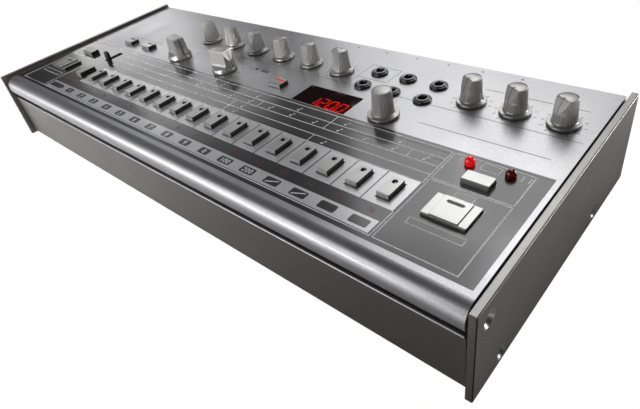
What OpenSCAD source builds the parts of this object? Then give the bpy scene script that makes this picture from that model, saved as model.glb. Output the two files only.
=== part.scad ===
// Desktop drum machine: sixteen step keys, rotary controls, display, trigger
// jacks and rear connectors, as separate parts in one frame.
//
// Units are millimetres. X runs along the width, Y from front to rear, Z up.
// The origin is the middle of the footprint, on the table under the feet.
// Most parts are set out in the panel frame: its origin is the middle of the
// panel's front line, its Z = 0 is the top face of the panel sheet.

/* [Overall] */
// Width over both side plates
overall_w = 308; // [304:0.5:340]
// Length of the side plates along the panel
plate_len = 123.63; // [121:0.01:130]
// Height of the side plates at the front edge
plate_h = 39.42; // [38:0.01:46]
// Rise of the panel towards the rear, degrees
panel_tilt = 1.328; // [0:0.001:3]
// Lean of the rear face from square to the panel, degrees
rear_slant = 6.66; // [3:0.01:9]
// Room from the last effect knob to the side edge of the panel
side_room = 12; // [11:0.1:14]
// Room from the rear line of jacks to the rear end of the plates
rear_room = 23.43; // [22:0.01:28]

/* [Side plates] */
// Thickness of each side plate
plate_t = 2.45; // [1.8:0.05:4]
// Gap between side plate and housing, bridged by the spacer bosses
plate_gap = 1.35; // [0.8:0.05:3]
// How far the plates stand above the panel
plate_rise = 1.55; // [0.5:0.05:4]
// Bevel on the outer edges of the plates
plate_bevel = 0.35; // [0.1:0.05:0.8]

/* [Top panel] */
// Thickness of the panel sheet
sheet_t = 1.2; // [0.8:0.1:2]
// Outer radius of the front roll
nose_r = 5.1; // [4:0.1:6]
// Distance of the roll centre behind the front line
nose_y = 6; // [5.5:0.1:8]
// Outer radius of the lower roll
lip_r = 2.6; // [2:0.1:3.5]
// Height of the nose, top face to underside
nose_h = 9.4; // [8.6:0.1:10]

/* [Housing] */
// Thickness of the bottom case walls
case_t = 1.5; // [1.2:0.1:2.5]
// Top edge of the front wall, below the panel face
case_top = 12.3; // [11.4:0.1:13]
// Clearance between case floor and the lower edge of the plates
floor_lift = 1.3; // [1.2:0.1:2]
// Thickness of the rear panel sheet
rear_t = 1.2; // [0.8:0.1:2]
// Radius of the rubber feet
foot_r = 6; // [4:0.5:9]
// How far the feet reach below the side plates
foot_drop = 0.6; // [0.3:0.1:2]

/* [Boards] */
// Depth of the control board's top face below the panel face
board_z = 12; // [11:0.1:12.5]
// Thickness of both circuit boards
board_t = 1.6; // [1:0.1:2]
// Depth of the main board's top face, measured down the rear face
main_y = 29; // [27:0.5:30]
// Length of the main board inwards from the rear panel
main_len = 40; // [34:1:44]

/* [Step keys] */
// Spacing of the step keys
key_pitch = 13.226; // [12.5:0.001:13.6]
// Centre of the first step key
key_x = -91.94; // [-94:0.01:-90]
// Middle line of the step keys
key_y = 31.65; // [30:0.05:33]
// Width of a step key
key_w = 5; // [4:0.1:6]
// Length of a step key
key_l = 9.8; // [9:0.1:11]
// Height of the keys above the panel
key_h = 2.1; // [1.5:0.1:3]
// Gap between a key and its opening in the panel
key_gap = 0.35; // [0.2:0.05:0.6]
// Travel of every key
key_travel = 0.5; // [0.2:0.05:0.7]
// Place of the light pipe on a step key
pipe_y = 34.3; // [34:0.05:34.9]
// Radius of a light pipe
pipe_r = 0.95; // [0.6:0.05:1.1]

/* [Other keys] */
// Width of the start and tap keys
wide_w = 15.6; // [13:0.1:17]
// Length of the start and tap keys
wide_l = 11.1; // [10:0.1:12]
// Middle of the tap key
tap_x = 128.6; // [127:0.1:130]
// Middle of the start key
start_x = -130.2; // [-131:0.1:-128]
// Width of the raised pad on the wide keys
pad_w = 9.9; // [7:0.1:12]
// Width of the group and clear keys
small_w = 9.9; // [8:0.1:12]
// Length of the group and clear keys
small_l = 5.4; // [4.5:0.1:7]
// Middle line of the group and clear keys
small_y = 49; // [48:0.1:50]
// Width of the tempo and track keys
mode_w = 7.4; // [6:0.1:9]
// Length of the tempo and track keys
mode_l = 5.9; // [5:0.1:7]
// Middle of the tempo key
tempo_x = 15; // [12:0.5:18]
// Middles of the two track keys
track_x = [-116.4, -97.2];
// Middle line of the display row
row_y = 70; // [69:0.1:71]

/* [Knobs] */
// Spacing of the level knobs
level_pitch = 19.8; // [17.5:0.1:20]
// Centre of the first level knob
level_x = -64.2; // [-66:0.1:-62]
// Line of the level and effect knobs
level_y = 94.5; // [93:0.1:96]
// Spacing of the effect knobs
effect_pitch = 18.1; // [17:0.1:18.4]
// Centre of the first effect knob
effect_x = 102; // [101:0.1:103]
// Height of the level and effect knobs
knob_h = 11.1; // [8:0.1:14]
// Radius at the top of those knobs
knob_top_r = 3.8; // [3.2:0.05:4.4]
// Radius at the foot of their grips
knob_foot_r = 4.4; // [4:0.05:5]
// Radius of their skirts
skirt_r = 6; // [5.2:0.05:7]
// Gap under the skirts
skirt_gap = 0.45; // [0.2:0.05:1]
// Centre of the value knob
value_x = 76.3; // [74:0.1:78]
// Height of the value knob
value_h = 11.9; // [9:0.1:14]
// Skirt radius of the value knob and the selectors
big_skirt_r = 6.6; // [6:0.05:7.5]
// Centres of the two selector knobs
selector_x = [-64.2, -24.6];
// Height of the selector knobs
selector_h = 11.7; // [9:0.1:14]
// Radius of the volume knob on the rear
volume_r = 3.1; // [2.4:0.1:4]
// How far the volume knob stands out of the rear panel
volume_reach = 4; // [3:0.1:8]

/* [Shafts] */
// Radius of the knob shafts
shaft_r = 2; // [1.5:0.05:2.5]
// Running fit of a shaft or plunger in its hole
run_fit = 0.05; // [0.02:0.01:0.1]
// Radius of the threaded bushings
bush_r = 3; // [2.7:0.05:3.3]
// Gap between a bushing and its hole in the panel
bush_gap = 0.3; // [0.1:0.05:0.6]

/* [Lever] */
// Middle of the lever's slot
lever_x = -108.3; // [-110:0.1:-106]
// Width of the slot
slot_w = 3.9; // [3:0.1:5]
// Front end of the slot
slot_y = 46.5; // [45:0.1:48]
// Lever width across the slot
lever_w = 2.6; // [2:0.1:2.8]
// Lever length along the slot
lever_l = 2.2; // [1.6:0.1:3]
// Lever height above the panel
lever_h = 4.4; // [3:0.1:6]
// Travel over the four positions
lever_travel = 7.2; // [4:0.1:9]

/* [Display] */
// Middle of the display window
window_x = 45.5; // [44:0.1:46]
// Width of the display window
window_w = 30.2; // [26:0.1:32]
// Length of the display window
window_l = 14.4; // [12:0.1:16]
// Depth of the digits below the window
digit_depth = 2.3; // [1:0.1:4]

/* [Sockets] */
// Bore radius of every minijack
jack_r = 1.8; // [1.5:0.05:2]
// Spacing of the trigger jacks along the panel
jack_pitch = 15.5; // [11:0.1:15.6]
// Middle of the first trigger jack
jack_x = 52.9; // [52:0.1:54]
// The two lines of trigger jacks
jack_y = [87.1, 100.2];
// Outer radius of the jack flanges
jack_flange_r = 4; // [3.5:0.1:4.6]
// Height of the jack collars above the panel
jack_h = 1.3; // [0.8:0.1:2]
// Centres of the rear minijacks
rear_jack_x = [25.8, 43.2, 60.6];
// Centres of the two MIDI sockets
midi_x = [-43.6, -23.8];
// Depth of the MIDI centres down the rear face
midi_y = 19.3; // [18.5:0.1:20]
// Face radius of a MIDI socket
midi_r = 7.4; // [7:0.1:8]
// Half the width of a MIDI socket body
midi_half = 9.3; // [8.6:0.1:9.8]
// Depth of a MIDI socket body behind the rear panel
midi_deep = 12.5; // [10:0.1:13]
// Depth of a rear minijack body behind the rear panel
rear_jack_deep = 13; // [10:0.1:13.5]
// Centre of the volume knob
volume_x = 77.4; // [76:0.1:80]
// Centre of the USB socket
usb_x = 94.2; // [92:0.1:96]
// Centre of the power slider
power_x = 111.8; // [108:0.1:114]
// Travel of the power slider
power_travel = 3; // [2:0.1:4]

/* [Group LEDs] */
// Radius of the two group LEDs
led_r = 1.85; // [1.5:0.05:2.2]
// Height of the two group LEDs above the panel
led_h = 3.1; // [1.5:0.1:4]
// Distance of each LED from the middle of the group key
led_dx = 7.25; // [6:0.05:9]
// Line of the group LEDs
led_y = 57.2; // [56:0.1:59]

/* [Batteries] */
// Radius of an AA cell
cell_r = 7.25; // [7:0.05:7.5]
// Length of an AA cell with its nub
cell_l = 50.5; // [49:0.1:52]
// Middle of the battery bay along the width
bay_x = -30; // [-40:1:-20]
// Middle of the battery bay from the front
bay_y = 56; // [54:0.5:58]
// Room round the cells
cell_gap = 0.3; // [0.2:0.05:0.5]
// Width and height of a battery contact
contact_w = 10; // [8:0.1:12]
// Thickness of a battery contact
contact_t = 0.4; // [0.3:0.05:0.8]
// Travel of the battery door before it lifts off
door_travel = 12; // [6:0.5:14]

/* [Fasteners] */
// Radius of an M3 shank
screw_r = 1.5; // [1.25:0.05:1.6]
// Length of an M3 shank under the head
screw_l = 6; // [5:0.5:8]
// Radius of an M3 pan head
head_r = 2.75; // [2.4:0.05:3.2]
// Height of an M3 pan head
head_h = 1.8; // [1.2:0.1:2.4]
// Clearance between a screw and its hole
screw_fit = 0.05; // [0.02:0.01:0.2]
// Radius of the countersunk heads in the side plates
csk_r = 3.2; // [2.6:0.05:3.8]
// Radius of the bosses that take screws
boss_r = 2.9; // [2.5:0.1:3.2]

/* [Hidden] */
$fn = 64;
seat = 0.3;
panel_w = overall_w - 2 * (plate_t + plate_gap);
half_w = panel_w / 2;
// The controls spread with the panel: every place on it, across and along, is
// the named one times these two, which are 1 at the sizes above.
fit_x = half_w / (effect_x + 2 * effect_pitch + side_room);
fit_y = plate_len / (jack_y[1] + rear_room);
function key_at(i) = fit_x * (key_x + i * key_pitch);
function level_at(i) = fit_x * (level_x + i * level_pitch);
function effect_at(i) = fit_x * (effect_x + i * effect_pitch);
function jack_at(i) = fit_x * (jack_x + i * jack_pitch);
jack_rows = [for (y = jack_y) fit_y * y];
key_row = fit_y * key_y;
pipe_row = key_row + pipe_y - key_y;
small_row = fit_y * small_y;
led_row = fit_y * led_y;
mid_row = fit_y * row_y;
level_row = fit_y * level_y;
start_at = fit_x * start_x;
tap_at = fit_x * tap_x;
tempo_at = fit_x * tempo_x;
track_at = [for (x = track_x) fit_x * x];
value_at = fit_x * value_x;
selector_at = [for (x = selector_x) fit_x * x];
window_at = fit_x * window_x;
lever_at = fit_x * lever_x;
slot_from = fit_y * slot_y;
midi_at = [for (x = midi_x) fit_x * midi_x[0] + x - midi_x[0]];
rear_jack_at = [for (x = rear_jack_x) fit_x * x];
volume_at = fit_x * volume_x;
usb_at = fit_x * usb_x;
power_at = fit_x * power_x;
bay_at = [fit_x * bay_x, fit_y * bay_y];
plate_in = half_w + plate_gap;
plate_low = plate_rise - plate_h;
slant = tan(rear_slant);
tip = tan(panel_tilt);
plate_rear = (plate_len + plate_h * slant) / (1 - tip * slant);
plate_rear_z = plate_low - plate_rear * tip;
rear_inset = 1;
rear_y = plate_len + plate_rise * slant - rear_inset / cos(rear_slant) + 0.07;
front_reach = -plate_rise * sin(panel_tilt);
volume_ly = 22;
volume_lean = panel_tilt + rear_slant;
rear_reach = rear_y * cos(panel_tilt) + volume_ly * sin(volume_lean)
  + volume_reach * cos(volume_lean) + volume_r * sin(volume_lean);
panel_y0 = -(front_reach + rear_reach) / 2;
panel_z0 = -plate_low * cos(panel_tilt) + foot_drop;
floor_z = foot_drop + floor_lift;
floor_top = floor_z + case_t;
pan_deep = floor_z - panel_z0;
key_top_y = key_row + key_l / 2;
flange_lip = 0.4;
flange_t = 1.2;
flange_z = -sheet_t - seat;
lever_y = slot_from + 0.8 + lever_l / 2;
nose_screw = [7, -6.3];
case_screw_a = [fit_y * 17.9, -33.2];
case_screw_b = [fit_y * 94.5, -34.3];
stud_xy = [for (p = [[-140, 18], [139.5, 18], [-140, 62], [140.5, 67], [0, 52], [-85, 98], [92.9, 98]])
  [fit_x * p[0], fit_y * p[1]]];
tab_x = [for (x = [-118, -70, 5, 130]) fit_x * x];
flange_screw_x = [for (x = [-110, 8, 128]) fit_x * x];
main_screws = [[midi_at[0] - midi_half - 5.1, 20], [power_at + 13.2, 20], [fit_x * 5, 10]];
board_in = case_t + 2.7;
board_front = fit_y * 15;
board_rear = fit_y * 108;
cells_w = 4 * cell_r + cell_gap;
bay_in_l = 2 * (cell_l + 0.1) + 4;
bay_in_w = cells_w + 2 * cell_gap;
hook_gap = 0.15;
hook_t = 0.6;
cell_z = floor_top + hook_gap + hook_t + 0.2 + cell_r;
bay_roof = cell_z + cell_r + cell_gap;
door_l = 92;
door_w = 28;
hook_w = 8;
foot_xy = [for (p = [[-134, 14], [134, 14], [-134, 110], [134, 110]]) [fit_x * p[0], fit_y * p[1]]];

// ---- Frames ----------------------------------------------------------------

// Frame on the top face of the panel, origin in the middle of its front line.
module panel_frame() {
  translate([0, panel_y0, panel_z0]) rotate([panel_tilt, 0, 0]) children();
}

// Frame on the outer face of the rear panel: Y runs down the face, Z outwards.
module rear_frame() {
  panel_frame() translate([0, rear_y, 0]) rotate([rear_slant - 90, 0, 0]) children();
}

// Frame on the table: Y from the front line of the plates, Z from the table.
module ground_frame() {
  translate([0, panel_y0, 0]) children();
}

// Extrudes a [y, z] outline along X, from x0 over a width w.
module along_x(x0, w) {
  translate([x0, 0, 0]) rotate([90, 0, 90]) linear_extrude(w) children();
}

// Box by its ranges in X, Y and Z.
module box(x0, x1, y0, y1, z0, z1) {
  translate([x0, y0, z0]) cube([x1 - x0, y1 - y0, z1 - z0]);
}

// Box centred on x and y, from z0 to z1.
module block(x, y, w, l, z0, z1) {
  translate([x - w / 2, y - l / 2, z0]) cube([w, l, z1 - z0]);
}

// Upright cylinder at x and y, from z0 to z1.
module post(x, y, r, z0, z1) {
  translate([x, y, z0]) cylinder(r = r, h = z1 - z0);
}

// Cuts a 45 degree bevel of size b round the top of a w by l block.
module top_bevel(w, l, z, b) {
  s = b * sqrt(2);
  for (side = [-1, 1]) {
    translate([side * w / 2, 0, z]) rotate([0, 45, 0]) cube([s, l + 2, s], center = true);
    translate([0, side * l / 2, z]) rotate([45, 0, 0]) cube([w + 2, s, s], center = true);
  }
}

// ---- Top panel --------------------------------------------------------------

// Section of the rolled nose in the [y, z] plane.
module nose_section() {
  front = nose_y - nose_r;
  translate([nose_y, -nose_r]) intersection() {
    difference() {
      circle(r = nose_r);
      circle(r = nose_r - sheet_t);
    }
    translate([-nose_r, 0]) square(nose_r);
  }
  translate([front, lip_r - nose_h]) square([sheet_t, nose_h - nose_r - lip_r]);
  translate([front + lip_r, lip_r - nose_h]) intersection() {
    difference() {
      circle(r = lip_r);
      circle(r = lip_r - sheet_t);
    }
    translate([-lip_r, -lip_r]) square(lip_r);
  }
  translate([front + lip_r, -nose_h]) square([8 - front - lip_r, sheet_t]);
}

// Openings for every key, shaft, jack, lamp and the lever.
module panel_openings() {
  for (i = [-1 : 15]) {
    block(key_at(i), key_row, key_w + 2 * key_gap, key_l + 2 * key_gap, -sheet_t - 1, 1);
  }
  for (x = [start_at, tap_at]) {
    block(x, key_row + 0.3, wide_w + 2 * key_gap, wide_l + 2 * key_gap, -sheet_t - 1, 1);
    block(x, small_row, small_w + 2 * key_gap, small_l + 2 * key_gap, -sheet_t - 1, 1);
  }
  for (x = [tempo_at, track_at[0], track_at[1]]) {
    block(x, mid_row + 0.4, mode_w + 2 * key_gap, mode_l + 2 * key_gap, -sheet_t - 1, 1);
  }
  slot_l = 1.6 + lever_l + lever_travel;
  box(lever_at - slot_w / 2, lever_at + slot_w / 2, slot_from, slot_from + slot_l, -sheet_t - 1, 1);
  block(window_at, mid_row + 0.2, window_w + 0.2, window_l + 0.2, -sheet_t - 1, 1);
  for (i = [0 : 5]) post(level_at(i), level_row, bush_r + bush_gap, -sheet_t - 1, 1);
  for (i = [0 : 2]) post(effect_at(i), level_row, bush_r + bush_gap, -sheet_t - 1, 1);
  for (x = [value_at, selector_at[0], selector_at[1]]) post(x, mid_row, bush_r + bush_gap, -sheet_t - 1, 1);
  for (i = [0 : 2], y = jack_rows) post(jack_at(i), y, bush_r + bush_gap, -sheet_t - 1, 1);
  for (s = [-1, 1]) post(tap_at + s * led_dx, led_row, led_r + 0.1, -sheet_t - 1, 1);
}

module top_panel() color("#c9c7c2") {
  panel_frame() {
    difference() {
      along_x(-half_w, panel_w) nose_section();
      for (s = [-1, 1]) {
        translate([s * half_w, nose_screw[0], nose_screw[1]]) rotate([0, 90, 0])
          cylinder(r = screw_r + screw_fit, h = 30, center = true);
      }
    }
    difference() {
      box(-half_w, half_w, nose_y, rear_y, -sheet_t, 0);
      panel_openings();
    }
    for (p = stud_xy) {
      difference() {
        post(p[0], p[1], boss_r - 0.4, -board_z, -sheet_t);
        post(p[0], p[1], screw_r + screw_fit, -board_z - 1, -board_z + screw_l - board_t + 0.4);
      }
    }
    for (s = [-1, 1]) {
      difference() {
        union() {
          box(s > 0 ? half_w - 10 : -half_w, s > 0 ? half_w : -half_w + 10,
            nose_screw[0] - 3.5, nose_screw[0] + 3.5, sheet_t - nose_h, -sheet_t);
          translate([s * (half_w - 1), nose_screw[0], nose_screw[1]]) rotate([0, s * 90, 0])
            cylinder(r = boss_r, h = plate_gap + 1);
        }
        translate([s * (half_w + plate_gap + 1), nose_screw[0], nose_screw[1]]) rotate([0, -s * 90, 0])
          cylinder(r = screw_r + screw_fit, h = plate_gap + 9);
      }
    }
  }
  rear_frame() {
    for (x = tab_x) {
      difference() {
        box(x - 9, x + 9, 0.5, 11, -rear_t - case_t, -rear_t);
        post(x, 6, screw_r + screw_fit, -rear_t - case_t - 1, 1);
      }
    }
  }
}

// ---- Side plates --------------------------------------------------------------

// Outline of a side plate in the [y, z] plane.
plate_outline = [
  [0, plate_rise], [plate_len, plate_rise], [plate_rear, plate_rear_z], [0, plate_low]
];

// Bevel cutter along one edge of the plate outline, on the outer face at x.
module edge_bevel(a, b, x) {
  len = norm(b - a);
  s = plate_bevel * sqrt(2);
  translate([x, a[0], a[1]]) rotate([atan2(b[1] - a[1], b[0] - a[0]), 0, 0])
    translate([0, len / 2, 0]) rotate([0, 45, 0]) cube([s, len + 4, s], center = true);
}

// One side plate; side is -1 for left and 1 for right.
module side_plate(side) {
  out_x = side * (plate_in + plate_t);
  panel_frame() difference() {
    along_x(side > 0 ? plate_in : -plate_in - plate_t, plate_t) polygon(plate_outline);
    for (i = [0 : 3]) edge_bevel(plate_outline[i], plate_outline[(i + 1) % 4], out_x);
    for (p = [nose_screw, case_screw_a, case_screw_b]) {
      translate([out_x + side, p[0], p[1]]) rotate([0, -side * 90, 0]) {
        cylinder(r = screw_r + screw_fit, h = plate_t + 3);
        cylinder(r = csk_r + screw_fit, h = 1 + 0.3);
        translate([0, 0, 1.3]) cylinder(r1 = csk_r + screw_fit, r2 = screw_r + screw_fit, h = csk_r - screw_r);
      }
    }
  }
}

module left_side_plate() color("#5a5653") side_plate(-1);

module right_side_plate() color("#5a5653") side_plate(1);

// Countersunk socket screws, three a side.
module side_plate_screws() color("#34322f") {
  panel_frame() for (side = [-1, 1], p = [nose_screw, case_screw_a, case_screw_b]) {
    translate([side * (plate_in + plate_t - 0.3), p[0], p[1]]) rotate([0, -side * 90, 0]) difference() {
      union() {
        cylinder(r1 = csk_r, r2 = screw_r, h = csk_r - screw_r);
        cylinder(r = screw_r, h = plate_t + plate_gap + 3.5);
      }
      translate([0, 0, -1]) cylinder(r = 1.15, h = 2.1, $fn = 6);
    }
  }
}

// ---- Bottom case --------------------------------------------------------------

// Depth of the case floor's underside below the panel plane at y.
function under(y) = -(panel_z0 - floor_z) / cos(panel_tilt) - y * tip;

// Boss that stands on the case floor and takes a main board screw.
module main_boss(x, l) {
  intersection() {
    rear_frame() translate([x, main_y + board_t, -l]) rotate([-90, 0, 0]) difference() {
      cylinder(r = boss_r, h = panel_z0 / 2);
      translate([0, 0, -1]) cylinder(r = screw_r + screw_fit, h = screw_l - board_t + 1.2);
    }
    ground_frame() box(x - 2 * boss_r, x + 2 * boss_r, 0, 2 * plate_len, floor_z + 0.05, panel_z0);
  }
}

module bottom_case() color("#6f6b66") {
  wall_x = half_w - case_t;
  rear_in = rear_t + 0.15;
  panel_frame() {
    // front wall with its inturned top edge and the dust lip behind the nose
    along_x(-half_w, panel_w) polygon([
      [2, -case_top], [9.6, -case_top], [9.6, -case_top - case_t], [2 + case_t, -case_top - case_t],
      [2.75 + case_t, under(2.75 + case_t)], [2.75, under(2.75)]
    ]);
    difference() {
      box(-wall_x, wall_x, 8.4, 9.6, -case_top, -nose_h + 0.6);
      for (s = [-1, 1]) translate([s * half_w, nose_screw[0], -5]) cube([22, 9, 9], center = true);
    }
    // side walls with their spacer bosses
    for (s = [-1, 1]) difference() {
      union() {
        along_x(s > 0 ? wall_x : -half_w, case_t) polygon([
          [2.75, under(2.75)], [2, -case_top], [nose_screw[0] + 4.2, -case_top],
          [nose_screw[0] + 4.2, -sheet_t - seat], [rear_y - rear_in, -sheet_t - seat],
          [rear_y - rear_in - under(rear_y) * slant, under(rear_y)]
        ]);
        for (p = [case_screw_a, case_screw_b]) {
          translate([s * (wall_x - 5), p[0], p[1]]) rotate([0, s * 90, 0])
            cylinder(r = boss_r, h = 5 + case_t + plate_gap);
        }
      }
      for (p = [case_screw_a, case_screw_b]) {
        translate([s * (wall_x - 4.5), p[0], p[1]]) rotate([0, s * 90, 0])
          cylinder(r = screw_r + screw_fit, h = 12);
      }
    }
  }
  ground_frame() {
    // floor with the battery opening
    difference() {
      box(-half_w, half_w, floor_y0, floor_y1, floor_z, floor_top);
      block(bay_at[0], bay_at[1], door_l, door_w, 0, 20);
    }
    // battery bay
    difference() {
      block(bay_at[0], bay_at[1], bay_in_l + 2 * case_t, bay_in_w + 2 * case_t, floor_top, bay_roof + case_t);
      block(bay_at[0], bay_at[1], bay_in_l, bay_in_w, 0, bay_roof);
    }
  }
  for (p = main_screws) main_boss(p[0], p[1]);
  // rear flange
  rear_frame() difference() {
    box(-wall_x, wall_x, main_y + board_t + 0.4, flange_low, -rear_t - case_t, -rear_t);
    for (x = flange_screw_x) post(x, main_y + 5.6, screw_r + screw_fit, -rear_t - case_t - 1, 1);
  }
}
floor_y0 = 2.75 * cos(panel_tilt) - under(2.75) * sin(panel_tilt);
floor_y1 = rear_y * cos(panel_tilt) - (rear_t + 0.15) / cos(volume_lean)
  + (panel_z0 + rear_y * sin(panel_tilt) - floor_top) * tan(volume_lean);
flange_low = (panel_z0 + rear_y * sin(panel_tilt) - floor_z - rear_t * sin(volume_lean) - 0.3) / cos(volume_lean);

// Rubber feet under the four corners of the floor.
module rubber_feet() color("#1d1c1b") {
  ground_frame() for (p = foot_xy) post(p[0], p[1], foot_r, 0, floor_z);
}

// ---- Rear panel --------------------------------------------------------------

module rear_panel() color("#2b2a29") {
  rear_frame() difference() {
    box(-half_w, half_w, sheet_t + 0.25, flange_low, -rear_t, 0);
    for (x = midi_at) post(x, midi_y, midi_r + 0.15, -5, 5);
    for (x = rear_jack_at) post(x, main_y - 4.5, bush_r + bush_gap, -5, 5);
    post(volume_at, volume_ly, volume_r + 0.4, -5, 5);
    block(usb_at, main_y - 1.7, 8.4, 3.4, -5, 5);
    block(power_at, main_y - 4, 3 + power_travel + 1, 3.4, -5, 5);
    for (x = tab_x) post(x, 6, screw_r + 0.2, -5, 5);
    for (x = flange_screw_x) post(x, main_y + 5.6, screw_r + 0.2, -5, 5);
  }
}

// ---- Screws ------------------------------------------------------------------

// M3 pan head screw, head on Z > 0, shank along -Z, with a cross recess.
module pan_screw() {
  difference() {
    union() {
      translate([0, 0, -screw_l]) cylinder(r = screw_r, h = screw_l);
      cylinder(r1 = head_r, r2 = head_r - 0.5, h = head_h);
    }
    translate([0, 0, head_h]) cube([3, 0.6, 2], center = true);
    translate([0, 0, head_h]) cube([0.6, 3, 2], center = true);
  }
}

module case_screws() color("#3a3937") {
  panel_frame() for (p = stud_xy) {
    translate([p[0], p[1], -board_z - board_t]) rotate([180, 0, 0]) pan_screw();
  }
  rear_frame() {
    for (x = tab_x) translate([x, 6, 0]) pan_screw();
    for (x = flange_screw_x) translate([x, main_y + 5.6, 0]) pan_screw();
    for (p = main_screws) translate([p[0], main_y, -p[1]]) rotate([90, 0, 0]) pan_screw();
  }
}

// ---- Boards ------------------------------------------------------------------

module control_board() color("#1f5a3c") {
  panel_frame() difference() {
    box(-half_w + board_in, half_w - board_in, board_front, board_rear, -board_z - board_t, -board_z);
    for (p = stud_xy) post(p[0], p[1], screw_r + 0.2, -board_z - board_t - 1, 0);
    for (i = [0 : 2], y = jack_rows) post(jack_at(i), y, jack_r + 0.4, -board_z - board_t - 1, 0);
  }
}

module main_board() color("#1f5a3c") {
  rear_frame() difference() {
    box(main_screws[0][0] - 6, main_screws[1][0] + 6, main_y, main_y + board_t, -rear_t - seat - main_len, -rear_t - seat);
    for (p = main_screws) {
      translate([p[0], main_y - 1, -p[1]]) rotate([-90, 0, 0]) cylinder(r = screw_r + 0.2, h = board_t + 2);
    }
  }
}

// Body of a pot, encoder or rotary switch on the control board, with its bushing.
module pot(x, y, w, l) {
  difference() {
    union() {
      block(x, y, w, l, -board_z, -board_z + 6.6);
      post(x, y, bush_r, -board_z + 6.6, -sheet_t - seat);
    }
    post(x, y, shaft_r + run_fit, -board_z + 1.5, 0);
  }
}

module control_pots() color("#3f5f52") {
  panel_frame() {
    for (i = [0 : 5]) pot(level_at(i), level_row, 9.8, 9.5);
    for (i = [0 : 2]) pot(effect_at(i), level_row, 9.8, 9.5);
    pot(value_at, mid_row, 12, 12);
    for (x = selector_at) pot(x, mid_row, 12, 12);
  }
  rear_frame() difference() {
    union() {
      box(volume_at - 4.9, volume_at + 4.9, volume_ly - 4.5, main_y, -rear_t - 8, -rear_t - seat);
      post(volume_at, volume_ly, bush_r, -rear_t - seat, -seat);
    }
    post(volume_at, volume_ly, shaft_r + run_fit, -rear_t - 7, 1);
  }
}

// Tact switch body that guides a key's plunger.
module tact(x, y, w) {
  difference() {
    block(x, y, w, w, -board_z, -board_z + 3.5);
    post(x, y, plunger_r + run_fit, -board_z + 1.2, 0);
  }
}
plunger_r = 1.6;
plunger_y = key_row - 1.2;
tact_w = 4.4;

module board_switches() color("#22211f") {
  panel_frame() {
    for (i = [-1 : 15]) tact(key_at(i), plunger_y, tact_w);
    for (x = [start_at, tap_at]) {
      tact(x, key_row + 0.3, 6);
      tact(x, small_row, 6);
    }
    for (x = [tempo_at, track_at[0], track_at[1]]) tact(x, mid_row + 0.4, 6);
    difference() {
      block(lever_at, slot_mid, 7, lever_l + lever_travel + 6, -board_z, -board_z + 5);
      block(lever_at, slot_mid, lever_w + 2 * run_fit, lever_l + lever_travel + 1, -board_z + 1.5, 0);
    }
  }
  rear_frame() difference() {
    box(power_at - 5.5, power_at + 5.5, main_y - 7, main_y, -rear_t - 6, -rear_t - seat);
    block(power_at, main_y - 4, 3 + power_travel + 0.4, 2.6, -rear_t - 4.5, 1);
  }
}
slot_mid = lever_y + lever_travel / 2;

// ---- Lamps and display ----------------------------------------------------------

module panel_leds() color("#d0402f") {
  panel_frame() {
    for (i = [0 : 15]) post(key_at(i), pipe_row, pipe_r, -board_z, key_h - 0.55);
    for (s = [-1, 1]) {
      intersection() {
        union() {
          post(tap_at + s * led_dx, led_row, led_r, -board_z, led_h - led_r);
          translate([tap_at + s * led_dx, led_row, led_h - led_r]) sphere(r = led_r);
        }
        post(tap_at + s * led_dx, led_row, led_r, -board_z, led_h + 1);
      }
    }
  }
}

module display_window() color("#3a1512") {
  panel_frame() block(window_at, mid_row + 0.2, window_w, window_l, -sheet_t, -0.05);
}

module display_module() color("#26201f") {
  panel_frame() difference() {
    block(window_at, mid_row + 0.2, window_w - 0.6, window_l - 0.4, -board_z, -sheet_t);
    block(window_at, mid_row + 0.2, window_w - 3, window_l - 2, -sheet_t - digit_depth, 1);
  }
}

// ---- Sockets ------------------------------------------------------------------

// Upright minijack for the panel: body on the board, threaded bushing, flange nut.
module panel_jack(x, y) {
  difference() {
    union() {
      block(x, y, 9.4, 9, -board_z, -sheet_t - seat);
      post(x, y, bush_r, -sheet_t - seat, jack_h);
      post(x, y, jack_flange_r, 0, jack_h - 0.5);
    }
    post(x, y, jack_r, -board_z - 1, jack_h + 1);
  }
}

module minijack_sockets() color("#232221") {
  panel_frame() for (i = [0 : 2], y = jack_rows) panel_jack(jack_at(i), y);
  rear_frame() for (x = rear_jack_at) {
    difference() {
      union() {
        box(x - 4.5, x + 4.5, main_y - 9, main_y, -rear_t - rear_jack_deep, -rear_t - seat);
        post(x, main_y - 4.5, bush_r, -rear_t - seat, 0.5);
      }
      post(x, main_y - 4.5, jack_r, -rear_t - rear_jack_deep + 1, 1);
    }
  }
}

module midi_sockets() color("#1c1b1b") {
  rear_frame() for (x = midi_at) {
    difference() {
      union() {
        box(x - midi_half, x + midi_half, midi_y - midi_half, main_y, -rear_t - midi_deep, -rear_t - seat);
        post(x, midi_y, midi_r, -rear_t - seat, 0.4);
      }
      difference() {
        post(x, midi_y, 6.8, -8, 1);
        post(x, midi_y, 6, -9, 2);
      }
      for (a = [-90, -45, 0, 45, 90]) {
        translate([x, midi_y, -9]) rotate([0, 0, a]) translate([0, -3.75, 0]) cylinder(r = 0.8, h = 10);
      }
    }
  }
}

module usb_socket() color("#b9b9b7") {
  rear_frame() difference() {
    box(usb_at - 3.9, usb_at + 3.9, main_y - 2.9, main_y, -rear_t - 5.5, 0.2);
    box(usb_at - 3.5, usb_at + 3.5, main_y - 2.5, main_y - 0.4, -rear_t - 4.5, 1);
  }
  rear_frame() box(usb_at - 2.2, usb_at + 2.2, main_y - 1.7, main_y - 1.2, -rear_t - 4.5, -0.6);
}

// ---- Batteries ------------------------------------------------------------------

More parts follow.
